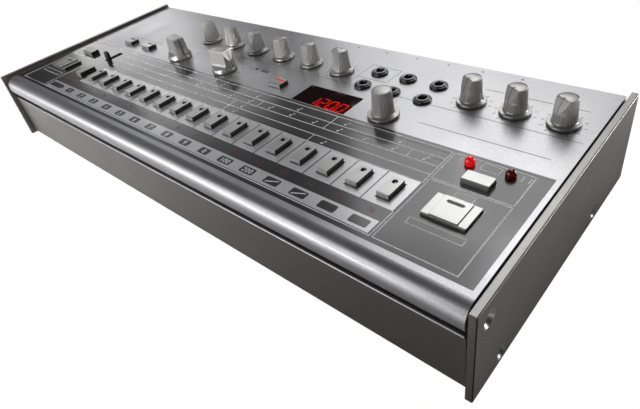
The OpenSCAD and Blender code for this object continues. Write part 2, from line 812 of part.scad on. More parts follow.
// Places its children at each cell: x of the cell's flat end, y of its axis.
module each_cell() {
  for (row = [-1, 1], k = [0, 1]) {
    translate([bay_at[0] - bay_in_l / 2 + 3.1 + k * (cell_l + 0.1), bay_at[1] + row * (cell_r + cell_gap / 2), cell_z])
      rotate([0, 90, 0]) children();
  }
}

module batteries() color("#3b3f45") {
  ground_frame() each_cell() {
    cylinder(r = cell_r, h = cell_l - 1);
    cylinder(r = 2.7, h = cell_l);
  }
}

module battery_contacts() color("#c8c6bf") {
  ground_frame() for (row = [-1, 1]) {
    translate([bay_at[0] - bay_in_l / 2, bay_at[1] + row * (cell_r + cell_gap / 2), cell_z]) rotate([0, 90, 0]) {
      translate([-contact_w / 2, -contact_w / 2, 0]) cube([contact_w, contact_w, contact_t]);
      cylinder(r1 = 3.4, r2 = 2.2, h = 2.9);
    }
    translate([bay_at[0] + bay_in_l / 2 - contact_t, bay_at[1] + row * (cell_r + cell_gap / 2), cell_z]) rotate([0, 90, 0])
      translate([-contact_w / 2, -contact_w / 2, 0]) cube([contact_w, contact_w, contact_t]);
  }
}

module battery_door() color("#6f6b66") {
  ground_frame() {
    block(bay_at[0], bay_at[1], door_l + 6, door_w + 6, foot_drop + 0.1, floor_z - 0.1);
    for (s = [-1, 1]) {
      // side hooks that run along the edges of the opening
      x_in = s * (door_l / 2 - seat);
      box(bay_at[0] + min(x_in, x_in - s * 1.2), bay_at[0] + max(x_in, x_in - s * 1.2),
        hook_y0, hook_y0 + hook_w, floor_z - 0.1, floor_top + hook_gap + 0.1);
      box(bay_at[0] + min(x_in - s * 1.2, x_in + s * 1.6), bay_at[0] + max(x_in - s * 1.2, x_in + s * 1.6),
        hook_y0, hook_y0 + hook_w, floor_top + hook_gap, floor_top + hook_gap + hook_t);
    }
  }
}
hook_y0 = bay_at[1] + door_w / 2 - seat - hook_w;

// ---- Keys ----------------------------------------------------------------------

// Retaining flange under the panel for a key of w by l.
module key_flange(w, l) {
  block(0, 0, w + 2 * (key_gap + flange_lip), l + 2 * (key_gap + flange_lip), flange_z - flange_t, flange_z);
}

// Plunger from a key down into its switch.
module plunger(x, y) {
  post(x, y, plunger_r, -board_z + 2.5, flange_z - flange_t);
}

// Slim key; with_hole for a light pipe. The child frame is the key's middle.
module slim_key(i, with_hole) {
  x = key_at(i);
  panel_frame() {
    translate([x, key_row, 0]) difference() {
      union() {
        block(0, 0, key_w, key_l, flange_z - flange_t, key_h);
        key_flange(key_w, key_l);
      }
      top_bevel(key_w, key_l, key_h, 0.2);
      translate([0, -key_l / 2, key_h]) rotate([45, 0, 0]) cube([key_w + 2, 0.6, 0.6], center = true);
      if (with_hole) post(0, pipe_row - key_row, pipe_r + 0.1, -10, key_h + 1);
    }
    plunger(x, plunger_y);
  }
}

// Wide key: bevelled base, raised pad and a window let into the pad.
module wide_key(x) {
  panel_frame() translate([x, key_row + 0.3, 0]) {
    difference() {
      union() {
        difference() {
          block(0, 0, wide_w, wide_l, flange_z - flange_t, key_h - 0.8);
          top_bevel(wide_w, wide_l, key_h - 0.8, 0.45);
        }
        key_flange(wide_w, wide_l);
        difference() {
          block(0, 0, pad_w, wide_l - 1.1, 0, key_h - 0.3);
          top_bevel(pad_w, wide_l - 1.1, key_h - 0.3, 0.15);
        }
      }
      block(0, 2.85, 6, 1.5, key_h - 1.2, key_h + 1);
    }
    block(0, 2.85, 5.9, 1.4, key_h - 1.15, key_h - 0.4);
    plunger(0, 0);
  }
}

// Small key with a bevelled top.
module small_key(x) {
  panel_frame() translate([x, small_row, 0]) {
    difference() {
      union() {
        block(0, 0, small_w, small_l, flange_z - flange_t, key_h + 0.1);
        key_flange(small_w, small_l);
      }
      top_bevel(small_w, small_l, key_h + 0.1, 0.5);
    }
    plunger(0, 0);
  }
}

// Mode key with a lamp window near its rear edge.
module mode_key(x) {
  panel_frame() translate([x, mid_row + 0.4, 0]) {
    difference() {
      union() {
        block(0, 0, mode_w, mode_l, flange_z - flange_t, key_h);
        key_flange(mode_w, mode_l);
      }
      top_bevel(mode_w, mode_l, key_h, 0.25);
      block(0, 1.5, 4.4, 1.2, key_h - 0.8, key_h + 1);
    }
    block(0, 1.5, 4.3, 1.1, key_h - 0.75, key_h - 0.1);
    plunger(0, 0);
  }
}

module step_key_1() color("#d8d7d2") slim_key(0, true);
module step_key_2() color("#d8d7d2") slim_key(1, true);
module step_key_3() color("#d8d7d2") slim_key(2, true);
module step_key_4() color("#d8d7d2") slim_key(3, true);
module step_key_5() color("#d8d7d2") slim_key(4, true);
module step_key_6() color("#d8d7d2") slim_key(5, true);
module step_key_7() color("#d8d7d2") slim_key(6, true);
module step_key_8() color("#d8d7d2") slim_key(7, true);
module step_key_9() color("#d8d7d2") slim_key(8, true);
module step_key_10() color("#d8d7d2") slim_key(9, true);
module step_key_11() color("#d8d7d2") slim_key(10, true);
module step_key_12() color("#d8d7d2") slim_key(11, true);
module step_key_13() color("#d8d7d2") slim_key(12, true);
module step_key_14() color("#d8d7d2") slim_key(13, true);
module step_key_15() color("#d8d7d2") slim_key(14, true);
module step_key_16() color("#d8d7d2") slim_key(15, true);
module function_key() color("#d8d7d2") slim_key(-1, false);
module start_key() color("#d8d7d2") wide_key(start_at);
module tap_key() color("#d8d7d2") wide_key(tap_at);
module clear_key() color("#d8d7d2") small_key(start_at);
module group_key() color("#d8d7d2") small_key(tap_at);
module tempo_key() color("#d8d7d2") mode_key(tempo_at);
module track_key_1() color("#d8d7d2") mode_key(track_at[0]);
module track_key_2() color("#d8d7d2") mode_key(track_at[1]);

// ---- Lever and slider -------------------------------------------------------------

module scale_lever() color("#161616") {
  panel_frame() difference() {
    block(lever_at, lever_y, lever_w, lever_l, -board_z + 2, lever_h);
    for (s = [-1, 1]) {
      translate([lever_at, lever_y + s * lever_l / 2, lever_h]) rotate([45, 0, 0])
        cube([lever_w + 2, 0.5, 0.5], center = true);
    }
  }
}

module power_slider() color("#161616") {
  rear_frame() block(power_at - power_travel / 2, main_y - 4, 3, 2.4, -rear_t - 4.2, 1.2);
}

// ---- Knobs ----------------------------------------------------------------------

// Turned knob: skirt, grip and the bore for its shaft, as one revolved profile.
module knob_body(h, top_r, foot_r, rim_r, crown) {
  rotate_extrude() polygon([
    [shaft_r + 0.03, skirt_gap], [rim_r - 0.2, skirt_gap], [rim_r, skirt_gap + 0.2], [rim_r, skirt_gap + 0.45],
    [rim_r - 0.7, skirt_gap + 1.05], [foot_r + 0.05, skirt_gap + 1.6], [foot_r, skirt_gap + 1.8],
    [top_r, h - 0.25], [top_r - 0.25, h], [crown, h], [crown, h - 0.15], [0, h - 0.15], [0, h - 2.5],
    [shaft_r + 0.03, h - 2.5]
  ]);
}

// Shaft of a panel control, up to h - 2.6 inside its knob.
module shaft(h) {
  post(0, 0, shaft_r, -board_z + 2, h - 2.6);
}

// Flat pointer facet cut at dist from the axis at the top, down to the skirt side.
module pointer_facet(h, dist, lean, dir) {
  rotate([0, 0, dir]) translate([dist, 0, h]) rotate([0, -lean, 0]) translate([0, -8, -9.5]) cube([8, 16, 14]);
}

// Level or effect knob with a pointer facet towards dir, degrees from +X.
module pointer_knob(x, h, dir) {
  panel_frame() translate([x, level_row, 0]) {
    difference() {
      knob_body(h, knob_top_r, knob_foot_r, skirt_r, 3.1);
      pointer_facet(h, 1.95, 21, dir);
      rotate([0, 0, dir]) translate([1.4, -0.25, h - 0.45]) cube([2, 0.5, 1]);
    }
    shaft(h);
  }
}

// Selector knob with two finger scoops, a pointer facet and a notch line.
module selector_knob(x, dir) {
  h = selector_h;
  panel_frame() translate([x, mid_row, 0]) {
    difference() {
      rotate_extrude() polygon([
        [shaft_r + 0.03, skirt_gap], [big_skirt_r - 0.2, skirt_gap], [big_skirt_r, skirt_gap + 0.3],
        [big_skirt_r, skirt_gap + 1.1], [6.3, skirt_gap + 2], [5.65, h - 0.25], [5.4, h], [0, h],
        [0, h - 2.5], [shaft_r + 0.03, h - 2.5]
      ]);
      rotate([0, 0, dir]) {
        for (s = [-1, 1]) translate([-10, s * 12.755, h - 0.92]) rotate([0, 90, 0]) cylinder(r = 9.5, h = 20);
        translate([3.5, 0, h]) rotate([0, -17, 0]) translate([0, -8, -8.4]) cube([8, 16, 14]);
        translate([2.2, -0.3, h - 0.5]) cube([4, 0.6, 1]);
      }
    }
    shaft(h);
  }
}

module level_knob_1() color("#cfcdc8") pointer_knob(level_at(0), knob_h, 84);
module level_knob_2() color("#cfcdc8") pointer_knob(level_at(1), knob_h, 90);
module level_knob_3() color("#cfcdc8") pointer_knob(level_at(2), knob_h, 88);
module level_knob_4() color("#cfcdc8") pointer_knob(level_at(3), knob_h, 92);
module level_knob_5() color("#cfcdc8") pointer_knob(level_at(4), knob_h, 86);
module level_knob_6() color("#cfcdc8") pointer_knob(level_at(5), knob_h, 90);
module effect_knob_1() color("#cfcdc8") pointer_knob(effect_at(0), knob_h, 240);
module effect_knob_2() color("#cfcdc8") pointer_knob(effect_at(1), knob_h, 240);
module effect_knob_3() color("#cfcdc8") pointer_knob(effect_at(2), knob_h, 240);
module selector_knob_1() color("#cfcdc8") selector_knob(selector_at[0], -11);
module selector_knob_2() color("#cfcdc8") selector_knob(selector_at[1], 8);

module value_knob() color("#cfcdc8") {
  panel_frame() translate([value_at, mid_row, 0]) {
    knob_body(value_h, 4, 4.65, big_skirt_r, 3.4);
    shaft(value_h);
  }
}

module volume_knob() color("#191918") {
  rear_frame() translate([volume_at, volume_ly, 0]) {
    rotate_extrude() polygon([
      [0, 0.3], [volume_r, 0.3], [volume_r, volume_reach - 0.3], [volume_r - 0.3, volume_reach],
      [0, volume_reach]
    ]);
    post(0, 0, shaft_r, -rear_t - 6.5, 0.3);
  }
}

top_panel();
bottom_case();
rear_panel();
left_side_plate();
right_side_plate();
side_plate_screws();
case_screws();
rubber_feet();
display_window();
display_module();
minijack_sockets();
midi_sockets();
usb_socket();
control_board();
main_board();
control_pots();
board_switches();
panel_leds();
batteries();
battery_contacts();
battery_door();
step_key_1();
step_key_2();
step_key_3();
step_key_4();
step_key_5();
step_key_6();
step_key_7();
step_key_8();
step_key_9();
step_key_10();
step_key_11();
step_key_12();
step_key_13();
step_key_14();
step_key_15();
step_key_16();
function_key();
start_key();
clear_key();
group_key();
tap_key();
tempo_key();
track_key_1();
track_key_2();
scale_lever();
level_knob_1();
level_knob_2();
level_knob_3();
level_knob_4();
level_knob_5();
level_knob_6();
selector_knob_1();
selector_knob_2();
value_knob();
effect_knob_1();
effect_knob_2();
effect_knob_3();
volume_knob();
power_slider();
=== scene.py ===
"""Looks of a desktop drum machine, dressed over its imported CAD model.

The CAD nodes carry the real sizes. This script gives every node a procedural
material, stands finer meshes in for the parts that show most, lays the printed
marks on the panel, and adds the camera, lights, floor and backdrop. Sizes are
millimetres in local frames and become metres of the part's frame when a mesh
is made.
"""

import logging
import math
from dataclasses import dataclass, field
from enum import Enum
from typing import ClassVar, Sequence

import bpy
import numpy as np
from mathutils import Matrix, Vector


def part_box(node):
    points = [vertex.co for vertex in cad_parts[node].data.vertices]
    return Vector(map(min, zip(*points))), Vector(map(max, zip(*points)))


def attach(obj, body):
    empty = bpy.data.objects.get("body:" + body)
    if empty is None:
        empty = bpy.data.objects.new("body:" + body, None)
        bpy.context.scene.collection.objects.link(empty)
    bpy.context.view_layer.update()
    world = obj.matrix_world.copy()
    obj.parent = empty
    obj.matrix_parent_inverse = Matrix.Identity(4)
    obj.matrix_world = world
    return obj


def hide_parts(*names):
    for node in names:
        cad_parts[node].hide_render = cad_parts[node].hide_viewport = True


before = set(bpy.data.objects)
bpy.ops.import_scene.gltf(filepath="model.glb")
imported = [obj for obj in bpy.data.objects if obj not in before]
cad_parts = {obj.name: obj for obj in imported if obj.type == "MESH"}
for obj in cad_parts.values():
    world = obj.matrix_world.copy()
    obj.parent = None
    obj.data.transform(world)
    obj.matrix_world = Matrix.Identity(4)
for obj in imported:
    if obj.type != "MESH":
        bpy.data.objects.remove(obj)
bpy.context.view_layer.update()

log = logging.getLogger("drum_machine")

MM = 0.001
HOUSING = "housing"
TILT = 1.328  # Lean of the panel in degrees.
SLANT = 6.66  # Lean of the rear panel from upright, in degrees.
HALF_W = 150.2  # Half the panel's width.
OUTER_X = 154.0  # Outer face of a side plate.
REAR_Y = 122.874  # Length of the panel's flat top.
BOARD_Z = 12.0  # Depth of the control board under the panel.
KEY_PITCH = 13.226
KEY_X = -91.94 + KEY_PITCH * np.arange(16)
KEY_Y, WIDE_Y, SMALL_Y = 31.65, 31.95, 49.0  # Step keys, start and tap keys, clear and group keys.
KNOB_Y, SELECTOR_Y = 94.5, 70.0
LEVEL_PITCH, EFFECT_PITCH = 19.8, 18.1
REAR_JACK_X, REAR_JACK_Y = (25.8, 43.2, 60.6), 24.5


# ---- Frames and flat outlines --------------------------------------------------


@dataclass(frozen=True)
class LocalFrame:
    """A frame leant about X, for laying points out in millimetres.

    Attributes:
        lean: Turn about X in degrees.
        origin: Place of its origin in the part's frame, in millimetres.
    """

    lean: float
    origin: tuple[float, float, float]

    def matrix(self) -> np.ndarray:
        """Rotation from this frame to the part's frame."""
        c, s = math.cos(math.radians(self.lean)), math.sin(math.radians(self.lean))
        return np.array([[1, 0, 0], [0, c, -s], [0, s, c]])

    def place(self, points: np.ndarray) -> np.ndarray:
        """Turns local millimetres into metres of the part's frame."""
        return (np.asarray(points, float) @ self.matrix().T + self.origin) * MM

    def child(self, lean: float, offset: Sequence[float]) -> "LocalFrame":
        """A frame set at offset in this one and leant further."""
        spot = self.place(np.array([offset], float))[0] / MM
        return LocalFrame(self.lean + lean, tuple(spot))


def panel_frame() -> LocalFrame:
    """Frame on the panel's top face, origin in the middle of its front line."""
    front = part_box("left_side_plate")[0].y / MM
    return LocalFrame(TILT, (0.0, front + 1.55 * math.sin(math.radians(TILT)), 38.4598))


PANEL = panel_frame()
REAR = PANEL.child(SLANT - 90, (0, REAR_Y, 0))
GROUND = LocalFrame(0.0, (0.0, PANEL.origin[1], 0.0))


def circle(r: float | np.ndarray, n: int = 64) -> np.ndarray:
    """Ring of n points (r cos a, r sin a), a running once round from +X."""
    a = np.linspace(0, 2 * math.pi, n, endpoint=False)
    return np.stack([r * np.cos(a), r * np.sin(a)], 1)


def arc(cx: float, cy: float, rx: float, ry: float, start: float, end: float, n: int = 14) -> np.ndarray:
    """Path (cx + rx cos a, cy + ry sin a), a from start to end in degrees."""
    a = np.radians(np.linspace(start, end, n))
    return np.stack([cx + rx * np.cos(a), cy + ry * np.sin(a)], 1)


def round_rect(w: float, l: float, r: float, k: int = 4, s: int = 5) -> np.ndarray:
    """Ring round a rectangle w by l with corners of radius r.

    Each corner is k + 1 points of a quarter circle about (w/2 - r, l/2 - r),
    turned to its quadrant, and s points divide the side that follows it, so
    rings of different sizes match point for point.
    """
    r = max(min(r, w / 2 - 1e-3, l / 2 - 1e-3), 1e-3)
    a = np.linspace(0, math.pi / 2, k + 1) + np.arange(4)[:, None] * math.pi / 2
    sign = np.array([[1, 1], [-1, 1], [-1, -1], [1, -1]])
    centre = sign * (w / 2 - r, l / 2 - r)
    corners = centre[:, None, :] + r * np.stack([np.cos(a), np.sin(a)], -1)
    t = np.linspace(0, 1, s + 2)[1:-1, None]
    sides = corners[:, -1:, :] * (1 - t) + np.roll(corners[:, :1, :], -1, 0) * t
    return np.concatenate([corners, sides], 1).reshape(-1, 2)


def seen_from(ring: np.ndarray, centre: Sequence[float], r: float) -> np.ndarray:
    """Circle of radius r at centre, one point in the direction of each ring point."""
    d = ring - np.asarray(centre, float)
    return np.asarray(centre) + r * d / np.linalg.norm(d, axis=1, keepdims=True)


def stack(rings: Sequence[np.ndarray], heights: Sequence[float]) -> np.ndarray:
    """Grid of points: ring i lifted to height i."""
    return np.stack([np.column_stack([ring, np.full(len(ring), z)]) for ring, z in zip(rings, heights)])


def eased(radius: float, low: float, high: float, steps: int = 4) -> list[tuple[float, float]]:
    """Insets and heights of a rounded top edge.

    Inset = radius (1 - cos t), height = high - radius + radius sin t, for t
    from 0 to 90 degrees, after the straight wall that starts at low.
    """
    t = np.linspace(0, math.pi / 2, steps + 1)
    return [(0.0, low)] + list(zip(radius * (1 - np.cos(t)), high - radius + radius * np.sin(t)))


# ---- Meshes ---------------------------------------------------------------------


class Sketch:
    """Points and faces gathered in one local frame, then made into an object.

    Args:
        space: Frame that the points are given in.
        shift: Added to every point, in millimetres.
    """

    def __init__(self, space: LocalFrame, shift: Sequence[float] = (0, 0, 0)) -> None:
        self.space = space
        self.shift = np.asarray(shift, float)
        self.points: list[np.ndarray] = []
        self.faces: list[np.ndarray] = []
        self.slots: list[np.ndarray] = []
        self.count = 0

    def add(self, points: np.ndarray, faces: Sequence[np.ndarray], slot: int = 0) -> None:
        """Adds points and blocks of faces that index them.

        Args:
            points: An array of [x, y, z].
            faces: Arrays of corner indices, one face a row.
            slot: Material slot.
        """
        points = np.asarray(points, float).reshape(-1, 3) + self.shift
        for block in faces:
            self.faces.append(np.asarray(block) + self.count)
            self.slots.append(np.full(len(block), slot))
        self.points.append(points)
        self.count += len(points)

    def skin(self, grid: np.ndarray, slot: int = 0, loop: bool = False) -> None:
        """Faces a grid whose rows are rings, joining each point to its neighbours.

        Args:
            grid: Points by row and place in the ring, counter-clockwise seen
                from the last row.
            slot: Material slot.
            loop: Joins the last row back to the first, as round a tube. Both
                are closed with one face each otherwise.
        """
        m, n = grid.shape[:2]
        i, j = np.meshgrid(np.arange(m if loop else m - 1), np.arange(n), indexing="ij")
        up, on = (i + 1) % m, (j + 1) % n
        blocks = [np.stack([i * n + j, i * n + on, up * n + on, up * n + j], -1).reshape(-1, 4)]
        if not loop:
            blocks += [np.arange(n)[None, ::-1], (m - 1) * n + np.arange(n)[None]]
        self.add(grid, blocks, slot)

    def turn(self, profile: Sequence[tuple[float, float]], centre: Sequence[float] = (0, 0), n: int = 64,
             slot: int = 0, loop: bool = False) -> None:
        """Revolves a profile: point = centre + (r cos a, r sin a), at the profile's height."""
        r, z = np.asarray(profile, float).T
        unit = circle(1.0, n)
        flat = r[:, None, None] * unit + np.asarray(centre, float)
        self.skin(np.concatenate([flat, np.broadcast_to(z[:, None, None], (len(z), n, 1))], -1), slot, loop)

    def prism(self, outline: np.ndarray, z0: float, z1: float, slot: int = 0) -> None:
        """Raises a counter-clockwise outline from z0 to z1."""
        self.skin(stack([np.asarray(outline, float)] * 2, (z0, z1)), slot)

    def box(self, x0: float, x1: float, y0: float, y1: float, z0: float, z1: float, slot: int = 0) -> None:
        """Adds a block by its ranges."""
        self.prism(np.array([[x0, y0], [x1, y0], [x1, y1], [x0, y1]]), z0, z1, slot)

    def bars(self, ends: np.ndarray, width: float, z0: float, z1: float, slot: int = 0) -> None:
        """Lays straight bars of one width and thickness.

        A corner is an end plus or minus half the width along the bar's normal.

        Args:
            ends: Start and end [x, y] of each bar.
            width: Width of a bar.
            z0: Underside.
            z1: Top.
            slot: Material slot.
        """
        ends = np.asarray(ends, float).reshape(-1, 2, 2)
        run = ends[:, 1] - ends[:, 0]
        side = np.stack([-run[:, 1], run[:, 0]], 1) / np.linalg.norm(run, axis=1, keepdims=True) * width / 2
        flat = np.stack([ends[:, 0] - side, ends[:, 1] - side, ends[:, 1] + side, ends[:, 0] + side], 1)
        low, high = (np.concatenate([flat, np.full(flat.shape[:2] + (1,), z)], -1) for z in (z0, z1))
        quads = np.array([[3, 2, 1, 0], [4, 5, 6, 7], [0, 1, 5, 4], [1, 2, 6, 5], [2, 3, 7, 6], [3, 0, 4, 7]])
        faces = (quads[None] + 8 * np.arange(len(ends))[:, None, None]).reshape(-1, 4)
        self.add(np.concatenate([low, high], 1), [faces], slot)

    def sweep(self, path: np.ndarray, side: np.ndarray, up: np.ndarray, section: np.ndarray,
              slot: int = 0) -> None:
        """Carries a closed section along a path: point = path + u side + v up.

        Args:
            path: Points of the path.
            side: Direction of u at each path point, with side x up along the path.
            up: Direction of v.
            section: Counter-clockwise [u, v] outline.
            slot: Material slot.
        """
        path = np.asarray(path, float)[:, None, :]
        side, up = (np.broadcast_to(np.asarray(d, float), (len(path), 3))[:, None, :] for d in (side, up))
        u, v = np.asarray(section, float).T
        self.skin(path + u[None, :, None] * side + v[None, :, None] * up, slot)

    def ribbon(self, path: np.ndarray, width: float, z0: float, z1: float, slot: int = 0) -> None:
        """Lays a flat strip of one width along a flat path."""
        path = np.asarray(path, float)
        run = np.gradient(path, axis=0)
        run /= np.linalg.norm(run, axis=1, keepdims=True) + 1e-12
        side = np.column_stack([-run[:, 1], run[:, 0], np.zeros(len(run))])
        h = width / 2
        self.sweep(np.column_stack([path, np.zeros(len(path))]), side, (0, 0, 1),
                   np.array([[h, z0], [h, z1], [-h, z1], [-h, z0]]), slot)

    def sheet(self, outer: Sequence[float], holes: np.ndarray, z0: float, z1: float, slot: int = 0) -> None:
        """Lays a flat sheet with rectangular openings.

        The plane is cut into cells along every edge of the outline and of the
        openings. A cell outside all openings gets a top and an underside, and
        a wall wherever its neighbour is open.

        Args:
            outer: x0, x1, y0, y1 of the sheet.
            holes: x0, x1, y0, y1 of each opening.
            z0: Underside.
            z1: Top.
            slot: Material slot.
        """
        holes = np.asarray(holes, float).reshape(-1, 4)
        xs = np.unique(np.round(np.clip(np.concatenate([outer[:2], holes[:, :2].ravel()]), *outer[:2]), 4))
        ys = np.unique(np.round(np.clip(np.concatenate([outer[2:], holes[:, 2:].ravel()]), *outer[2:]), 4))
        cx, cy = (xs[1:] + xs[:-1])[:, None, None] / 2, (ys[1:] + ys[:-1])[None, :, None] / 2
        solid = ~((cx > holes[:, 0]) & (cx < holes[:, 1]) & (cy > holes[:, 2]) & (cy < holes[:, 3])).any(-1)
        near = np.pad(solid, 1)
        i, j = np.nonzero(solid)
        wide, top = len(ys), len(xs) * len(ys)
        a, b, c, d = i * wide + j, (i + 1) * wide + j, (i + 1) * wide + j + 1, i * wide + j + 1
        blocks = [np.stack([a, b, c, d], 1) + top, np.stack([d, c, b, a], 1)]
        for (di, dj), (p, q) in zip(((0, -1), (1, 0), (0, 1), (-1, 0)), ((a, b), (b, c), (c, d), (d, a))):
            blocks.append(np.stack([p, q, q + top, p + top], 1)[~near[i + 1 + di, j + 1 + dj]])
        flat = np.stack(np.meshgrid(xs, ys, indexing="ij"), -1).reshape(-1, 2)
        points = np.concatenate([np.column_stack([flat, np.full(top, z)]) for z in (z0, z1)])
        used = np.unique(np.concatenate([block.ravel() for block in blocks]))
        self.add(points[used], [np.searchsorted(used, block) for block in blocks if len(block)], slot)

    def build(self, name: str, finishes: Sequence["Finish"], crease: float = 30, body: str = HOUSING,
              node: str | None = None) -> bpy.types.Object:
        """Makes the object, gives it its finishes and hangs it on its body.

        Args:
            name: Object name.
            finishes: One finish for each material slot.
            crease: Edges sharper than this many degrees stay sharp.
            body: CAD body it moves with.
            node: CAD node it stands in for, if any.

        Returns:
            The new object.
        """
        faces = [row for block in self.faces for row in block.tolist()]
        mesh = bpy.data.meshes.new(name)
        mesh.from_pydata(self.space.place(np.concatenate(self.points)).tolist(), [], faces)
        mesh.polygons.foreach_set("material_index", np.concatenate(self.slots))
        mesh.polygons.foreach_set("use_smooth", np.ones(len(faces), bool))
        mesh.set_sharp_from_angle(angle=math.radians(crease))
        mesh.update()
        piece = bpy.data.objects.new(name, mesh)
        bpy.context.scene.collection.objects.link(piece)
        for finish in finishes:
            mesh.materials.append(finish.material())
        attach(piece, body)
        if node:
            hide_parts(node)
        log.info("%s: %d faces", name, len(faces))
        return piece


# ---- Finishes -------------------------------------------------------------------


def linear(code: str) -> tuple[float, float, float, float]:
    """Linear colour of an sRGB hex code such as #8a867e."""
    parts = [int(code[i:i + 2], 16) / 255 for i in (1, 3, 5)]
    return tuple(c / 12.92 if c <= 0.04045 else ((c + 0.055) / 1.055) ** 2.4 for c in parts) + (1.0,)


NOISE_SPAN = {"From Min": 0.3, "From Max": 0.7}  # Values that a noise mostly keeps to.


class Graph:
    """Node tree of one material or world."""

    def __init__(self, owner: bpy.types.ID) -> None:
        owner.use_nodes = True
        self.tree = owner.node_tree
        self.tree.nodes.clear()

    def add(self, kind: str, sockets: dict | None = None, **settings) -> bpy.types.Node:
        """Adds a node with its settings and links.

        Args:
            kind: Node type after ShaderNode, such as TexNoise.
            sockets: Input name or index to a value, or to an output to link.
            **settings: Properties of the node.

        Returns:
            The node.
        """
        node = self.tree.nodes.new("ShaderNode" + kind)
        for key, value in settings.items():
            setattr(node, key, value)
        for key, value in (sockets or {}).items():
            if isinstance(value, bpy.types.NodeSocket):
                self.tree.links.new(value, node.inputs[key])
            else:
                node.inputs[key].default_value = value
        return node


@dataclass(frozen=True)
class Finish:
    """A surface finish that builds its own procedural material on first use."""

    name: str = "Finish"
    slot: str = "black_plastic"
    made: ClassVar[dict[str, bpy.types.Material]] = {}

    def material(self) -> bpy.types.Material:
        """The finish's material."""
        if self.name not in Finish.made:
            Finish.made[self.name] = bpy.data.materials.new(self.name)
            g = Graph(Finish.made[self.name])
            g.add("OutputMaterial", {"Surface": self.shader(g).outputs[0]})
        return Finish.made[self.name]

    def shader(self, g: Graph) -> bpy.types.Node:
        """Adds the nodes and returns the shader that ends them."""
        raise NotImplementedError


@dataclass(frozen=True)
class Grained(Finish):
    """An opaque surface with a fine grain, from blasted metal to moulded plastic.

    One noise with spots of grit millimetres shades the colour from dark to
    light and stands relief millimetres high. A slow one with patches of patch
    millimetres drifts the roughness, as handling and tooling do.
    """

    dark: str = "#808080"
    light: str = "#909090"
    metallic: float = 0.0
    rough: float = 0.4
    drift: float = 0.04
    grit: float = 0.3
    relief: float = 0.006
    patch: float = 22.0
    coat: float = 0.0
    coat_rough: float = 0.1
    specular: float = 0.5

    def tint(self, g: Graph, colour: bpy.types.NodeSocket) -> bpy.types.NodeSocket:
        """The colour as the shader gets it, which a subclass may darken with painted shade."""
        return colour

    def shader(self, g: Graph) -> bpy.types.Node:
        """Adds the nodes and returns the shader."""
        place = g.add("TexCoord").outputs["Object"]
        grain = g.add("TexNoise", {"Vector": place, "Scale": 1 / (self.grit * MM), "Detail": 2.0})
        slow = g.add("TexNoise", {"Vector": place, "Scale": 1 / (self.patch * MM), "Detail": 2.0})
        shade = g.add("MapRange", {"Value": grain.outputs["Fac"], **NOISE_SPAN})
        colour = g.add("Mix", {0: shade.outputs[0], 6: linear(self.dark), 7: linear(self.light)},
                       data_type="RGBA")
        rough = g.add("MapRange", {"Value": slow.outputs["Fac"], **NOISE_SPAN,
                                   "To Min": self.rough - self.drift, "To Max": self.rough + self.drift})
        bump = g.add("Bump", {"Height": grain.outputs["Fac"], "Strength": 1.0, "Distance": self.relief * MM})
        return g.add("BsdfPrincipled", {
            "Base Color": self.tint(g, colour.outputs[2]), "Metallic": self.metallic,
            "Roughness": rough.outputs[0], "Coat Weight": self.coat, "Coat Roughness": self.coat_rough,
            "Specular IOR Level": self.specular, "Normal": bump.outputs[0]})


@dataclass(frozen=True)
class BlastedAluminium(Grained):
    """Aluminium sheet, bead blasted and clear anodised.

    The beads leave dimples of about 0.2 mm, which spread every reflection into
    a soft sheen with a fine sparkle. They are drawn at 0.3 mm so that they show.
    """

    name: str = "Aluminium sheet, bead blasted"
    slot: str = "panel_metal"
    dark: str = "#a6a6a8"
    light: str = "#c6c6c9"
    metallic: float = 0.85
    rough: float = 0.34
    grit: float = 0.3
    relief: float = 0.004


@dataclass(frozen=True)
class SilverEnamel(Grained):
    """Steel case, sprayed with silver-grey metallic enamel and baked.

    The flakes lie dark under a cured clear coat. The coat mirrors more the
    flatter it is looked at, so the case fades from silver to near black along
    its length.
    """

    name: str = "Steel case, silver-grey enamel"
    slot: str = "case_paint"
    dark: str = "#504d48"
    light: str = "#65625c"
    metallic: float = 0.4
    rough: float = 0.42
    grit: float = 0.3
    relief: float = 0.002
    coat: float = 1.0
    coat_rough: float = 0.28


@dataclass(frozen=True)
class PlateEnamel(Grained):
    """Steel side plate, warm grey metallic powder coat.

    The cured powder keeps an orange peel of about 0.4 mm, which breaks up the
    sheen and shows as a fine speckle.
    """

    name: str = "Steel plate, grey powder coat"
    slot: str = "plate_paint"
    dark: str = "#57524e"
    light: str = "#877f78"
    metallic: float = 0.6
    rough: float = 0.5
    grit: float = 0.4
    relief: float = 0.005


@dataclass(frozen=True)
class BlackPowderCoat(Grained):
    """Steel rear panel, matt black powder coat.

    A coarse matt texture that stays dark and shows no sharp reflection.
    """

    name: str = "Steel panel, black powder coat"
    slot: str = "rear_paint"
    dark: str = "#171717"
    light: str = "#252524"
    rough: float = 0.55
    grit: float = 0.35
    relief: float = 0.015


@dataclass(frozen=True)
class LacqueredCasting(Grained):
    """Zinc die casting, blasted and sprayed with silver lacquer.

    The flakes in the lacquer scatter as much as they mirror, so faces that look
    up are near white and upright ones fall to mid grey between the flutes.
    """

    name: str = "Zinc casting, silver lacquer"
    slot: str = "knob_metal"
    dark: str = "#abaaa6"
    light: str = "#c8c7c4"
    metallic: float = 0.62
    rough: float = 0.36
    grit: float = 0.25
    relief: float = 0.005


@dataclass(frozen=True)
class TurnedSkirt(Grained):
    """Zinc casting, skirt turned on a lathe and lacquered over.

    The cut metal mirrors more than the blasted cone, so the rim's flat top is a
    bright ring while its upright band goes dark where no lamp faces it.
    """

    name: str = "Zinc casting, turned skirt"
    slot: str = "knob_metal"
    dark: str = "#a3a29e"
    light: str = "#bdbcb8"
    metallic: float = 0.85
    rough: float = 0.36
    grit: float = 0.25
    relief: float = 0.002


